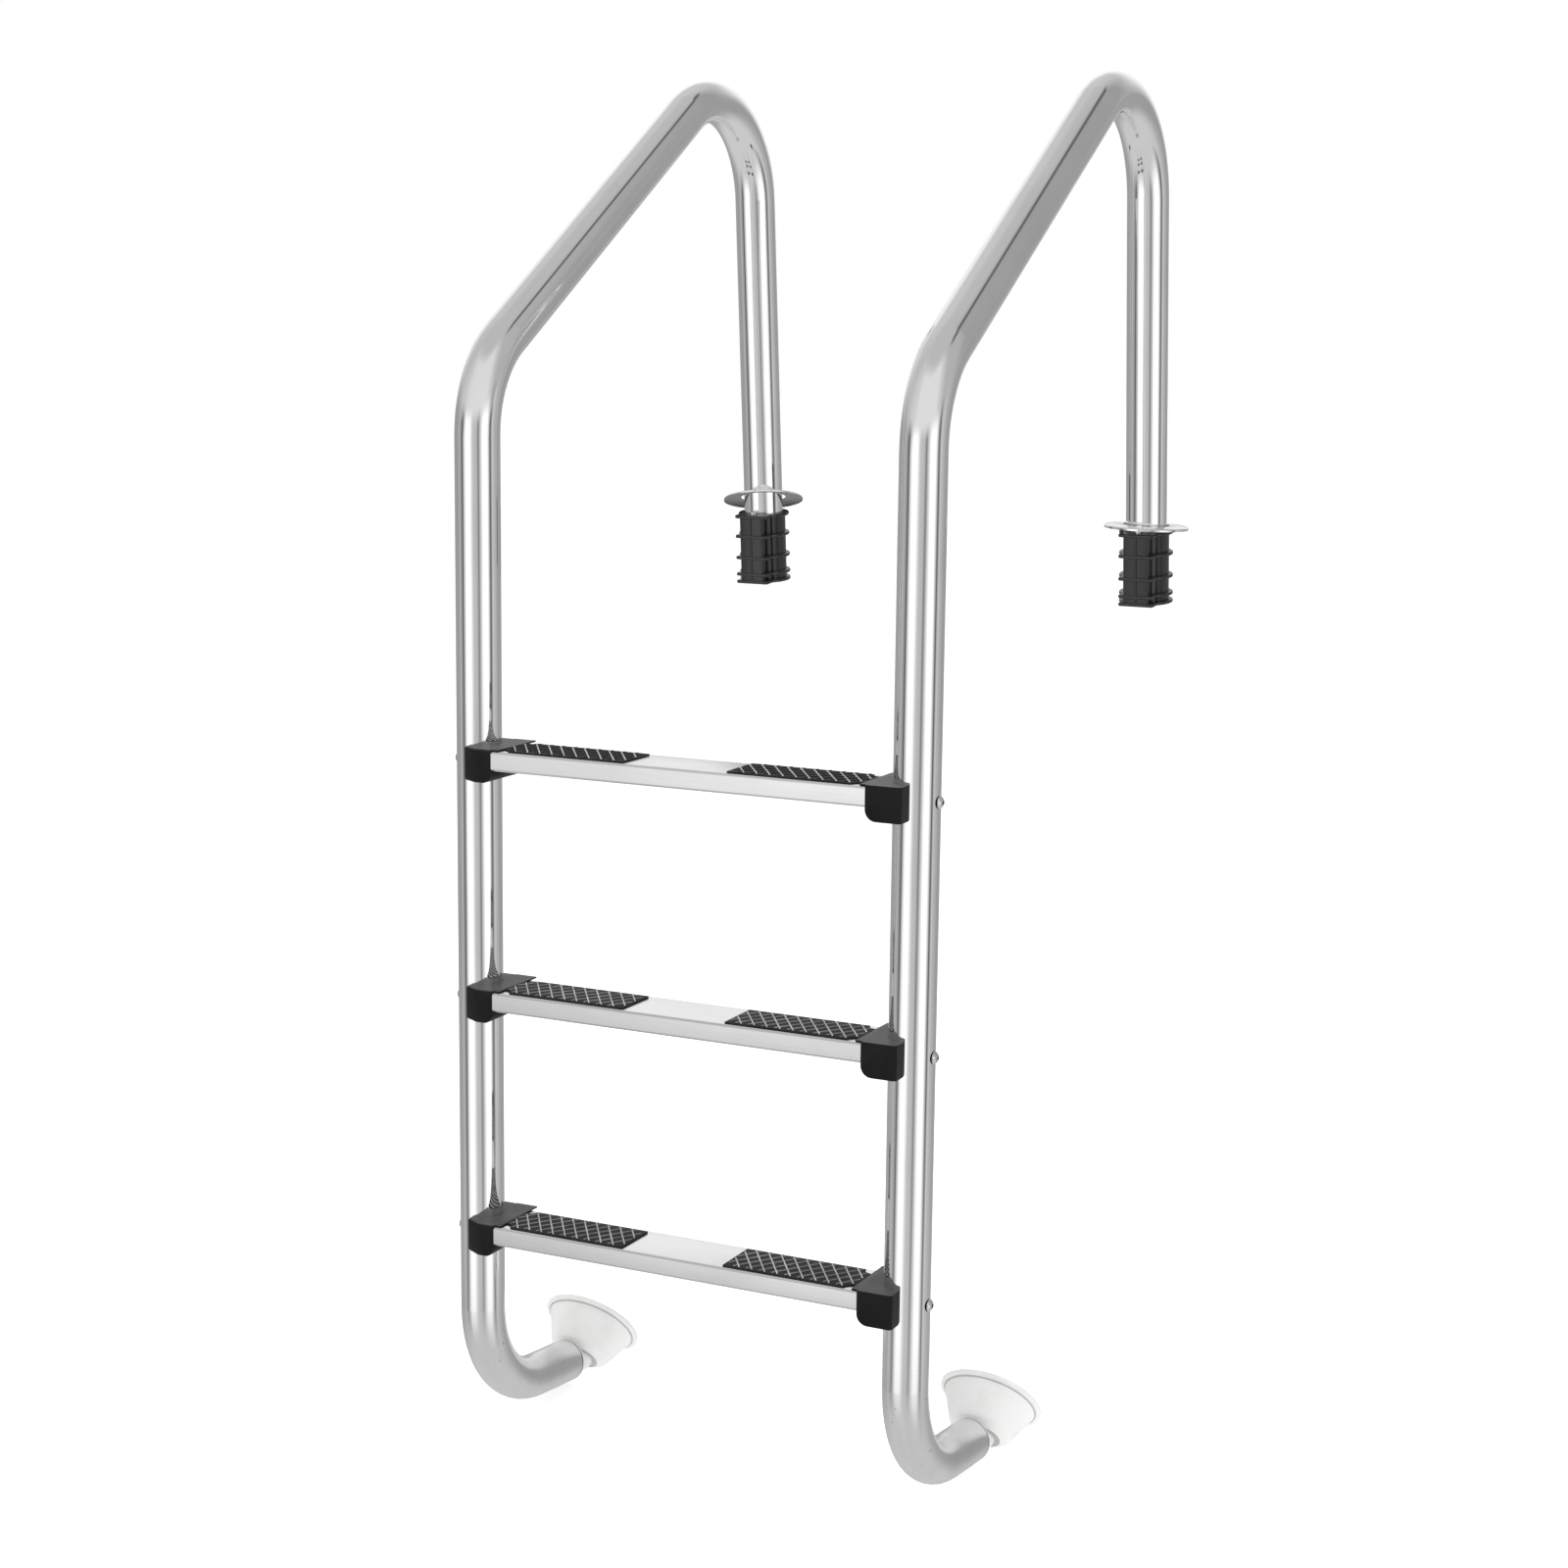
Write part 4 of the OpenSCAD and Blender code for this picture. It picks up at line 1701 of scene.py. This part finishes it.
@dataclass
class Studio:
    """Floor, camera, lamps and the soft room that the steel mirrors."""

    floor_size: float = 60.0
    lens: float = 64.84
    camera_place: tuple[float, float, float] = (1.33604, -3.21364, 0.26591)
    camera_azimuth: float = 25.85
    camera_elevation: float = 9.75
    camera_roll: float = 0.67
    # Name, place, size and power of each lamp.
    lamps: tuple[tuple[str, Colour, float, float], ...] = (
        ("overhead", (0.2, -0.6, 3.2), 3.0, 55.0),
        ("front_left", (-2.6, -3.2, 1.6), 2.0, 38.0),
        ("front_right", (3.2, -2.2, 1.2), 2.0, 22.0),
    )
    # Brightness of the room at each bearing in degrees, seen from the ladder.
    walls: tuple[Point, ...] = (
        (-180.0, 0.40), (-108.0, 0.35), (-100.0, 0.52), (-81.0, 0.28), (-76.0, 0.05),
        (-71.0, 0.38), (-65.0, 0.72), (-59.0, 1.0), (-54.0, 1.25), (-35.0, 1.25), (-30.0, 1.06),
        (-25.0, 0.88), (-20.0, 0.68), (-15.0, 0.58), (0.0, 0.55), (6.0, 0.36), (11.0, 0.22),
        (15.0, 0.46), (20.0, 0.66), (25.0, 0.90), (30.0, 1.12), (34.0, 1.25), (53.0, 1.25),
        (58.0, 1.0), (63.0, 0.68), (69.0, 0.30), (73.0, 0.08), (79.0, 0.40), (86.0, 0.66),
        (92.0, 0.54), (123.0, 0.36), (180.0, 0.40),
    )
    upper_walls: tuple[Point, ...] = (
        (-180.0, 0.64), (-150.0, 0.62), (-110.0, 0.55), (-40.0, 0.80), (40.0, 0.80),
        (70.0, 0.50), (98.0, 0.48), (108.0, 0.38), (124.0, 0.36), (134.0, 0.46), (152.0, 0.58),
        (180.0, 0.64),
    )
    back_wall: float = 0.95
    ceiling: float = 0.54
    ceiling_seam: float = 0.15
    ground: float = 0.66

    def build(self) -> None:
        """Makes the whole studio."""
        self.add_floor()
        self.add_camera()
        self.add_lamps()
        self.add_room()

    def add_floor(self) -> None:
        """Lays the floor under the lowest point of the ladder."""
        low = min(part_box(node)[0].z for node in NODES)
        half = self.floor_size / 2.0
        shape = Shape()
        outline = rectangle(-half, half, -half, half)
        shape.mesh.faces.new([shape.mesh.verts.new((x, y, low)) for x, y in outline])
        floor = shape.piece("studio_floor")
        dress(floor, StudioFloor())
        floor.visible_glossy = False

    def add_camera(self) -> None:
        """Sets up the camera."""
        azimuth, elevation, roll = (
            math.radians(angle)
            for angle in (self.camera_azimuth, self.camera_elevation, self.camera_roll)
        )
        level = math.cos(elevation)
        back = Vector((math.sin(azimuth) * level, -math.cos(azimuth) * level, math.sin(elevation)))
        right = Vector((math.cos(azimuth), math.sin(azimuth), 0.0))
        up = back.cross(right)
        rolled = right * math.cos(roll) + up * math.sin(roll)
        raised = up * math.cos(roll) - right * math.sin(roll)
        turn = Matrix((rolled, raised, back)).transposed().to_4x4()
        data = bpy.data.cameras.new("camera")
        data.lens = self.lens
        data.sensor_width = 36.0
        data.clip_end = 100.0
        camera = bpy.data.objects.new("camera", data)
        camera.matrix_world = Matrix.Translation(self.camera_place) @ turn
        bpy.context.scene.collection.objects.link(camera)
        bpy.context.scene.camera = camera

    def add_lamps(self) -> None:
        """Hangs soft lamps round the ladder."""
        target = Vector((0.0, -0.4, -0.2))
        for name, place, size, power in self.lamps:
            data = bpy.data.lights.new(name, "AREA")
            data.size = size
            data.energy = power
            lamp = bpy.data.objects.new(name, data)
            lamp.location = place
            aim = target - Vector(place)
            lamp.rotation_euler = aim.to_track_quat("-Z", "Y").to_euler()
            lamp.visible_glossy = False
            lamp.visible_camera = False
            bpy.context.scene.collection.objects.link(lamp)

    def add_room(self) -> None:
        """Paints the room: upright soft boxes with dark gaps, a pale floor and a grey ceiling."""
        world = bpy.data.worlds.new("room")
        bpy.context.scene.world = world
        world.use_nodes = True
        tree = ShaderTree(world.node_tree)
        towards = tree.add("ShaderNodeTexCoord", output="Generated")
        turned = tree.add(
            "ShaderNodeVectorRotate",
            {"rotation_type": "Z_AXIS"},
            {"Vector": towards, "Angle": -math.radians(self.camera_azimuth)},
        )
        east, north, height = (tree.part(turned, axis) for axis in "XYZ")
        angle = tree.add("ShaderNodeMath", {"operation": "ARCTAN2"}, {0: east, 1: north * -1.0})
        around = angle / (2.0 * math.pi) + 0.5
        low_wall, high_wall = (
            tree.add(
                "ShaderNodeValToRGB",
                {"stops": [((degrees + 180.0) / 360.0, value) for degrees, value in stops]},
                {0: around},
            )
            for stops in (self.walls, self.upper_walls)
        )
        behind = (abs(around - 0.5) * 2.0).ramp(0.70, 0.90)
        back_light = behind * height.ramp(0.03, 0.14) * (1.0 - height.ramp(0.34, 0.62))
        right = around.ramp(0.70, 0.76) * (1.0 - around.ramp(0.86, 0.90))
        seam = right * height.ramp(0.80, 0.83) * (1.0 - height.ramp(0.86, 0.89))
        room = low_wall.faded(high_wall, height.ramp(0.08, 0.35)).faded(self.back_wall, back_light)
        room = room.faded(self.ceiling, height.ramp(0.80, 0.95)).faded(self.ceiling_seam, seam)
        room = room.faded(self.ground, (height * -1.0).ramp(0.20, 0.75))
        lit, plain = (
            tree.add("ShaderNodeBackground", sockets={"Color": colour, "Strength": 1.0})
            for colour in (room, (1.0, 1.0, 1.0, 1.0))
        )
        seen = tree.add("ShaderNodeLightPath", output="Is Camera Ray")
        mixed = tree.add("ShaderNodeMixShader", sockets={0: seen, 1: lit, 2: plain})
        tree.add("ShaderNodeOutputWorld", sockets={"Surface": mixed})


def main() -> None:
    """Builds the sub-assemblies in order."""
    logging.basicConfig(level=logging.INFO, format="%(message)s")
    bpy.context.scene.view_settings.view_transform = "Standard"
    for assembly in (
        Studio(), Rails(), Treads(), TreadPads(), Brackets(), TreadScrews(), Fasteners(), Anchors(),
        CoverRings(), Bumpers(),
    ):
        assembly.build()
        LOG.info("%s built", type(assembly).__name__)


if __name__ == "__main__":
    main()
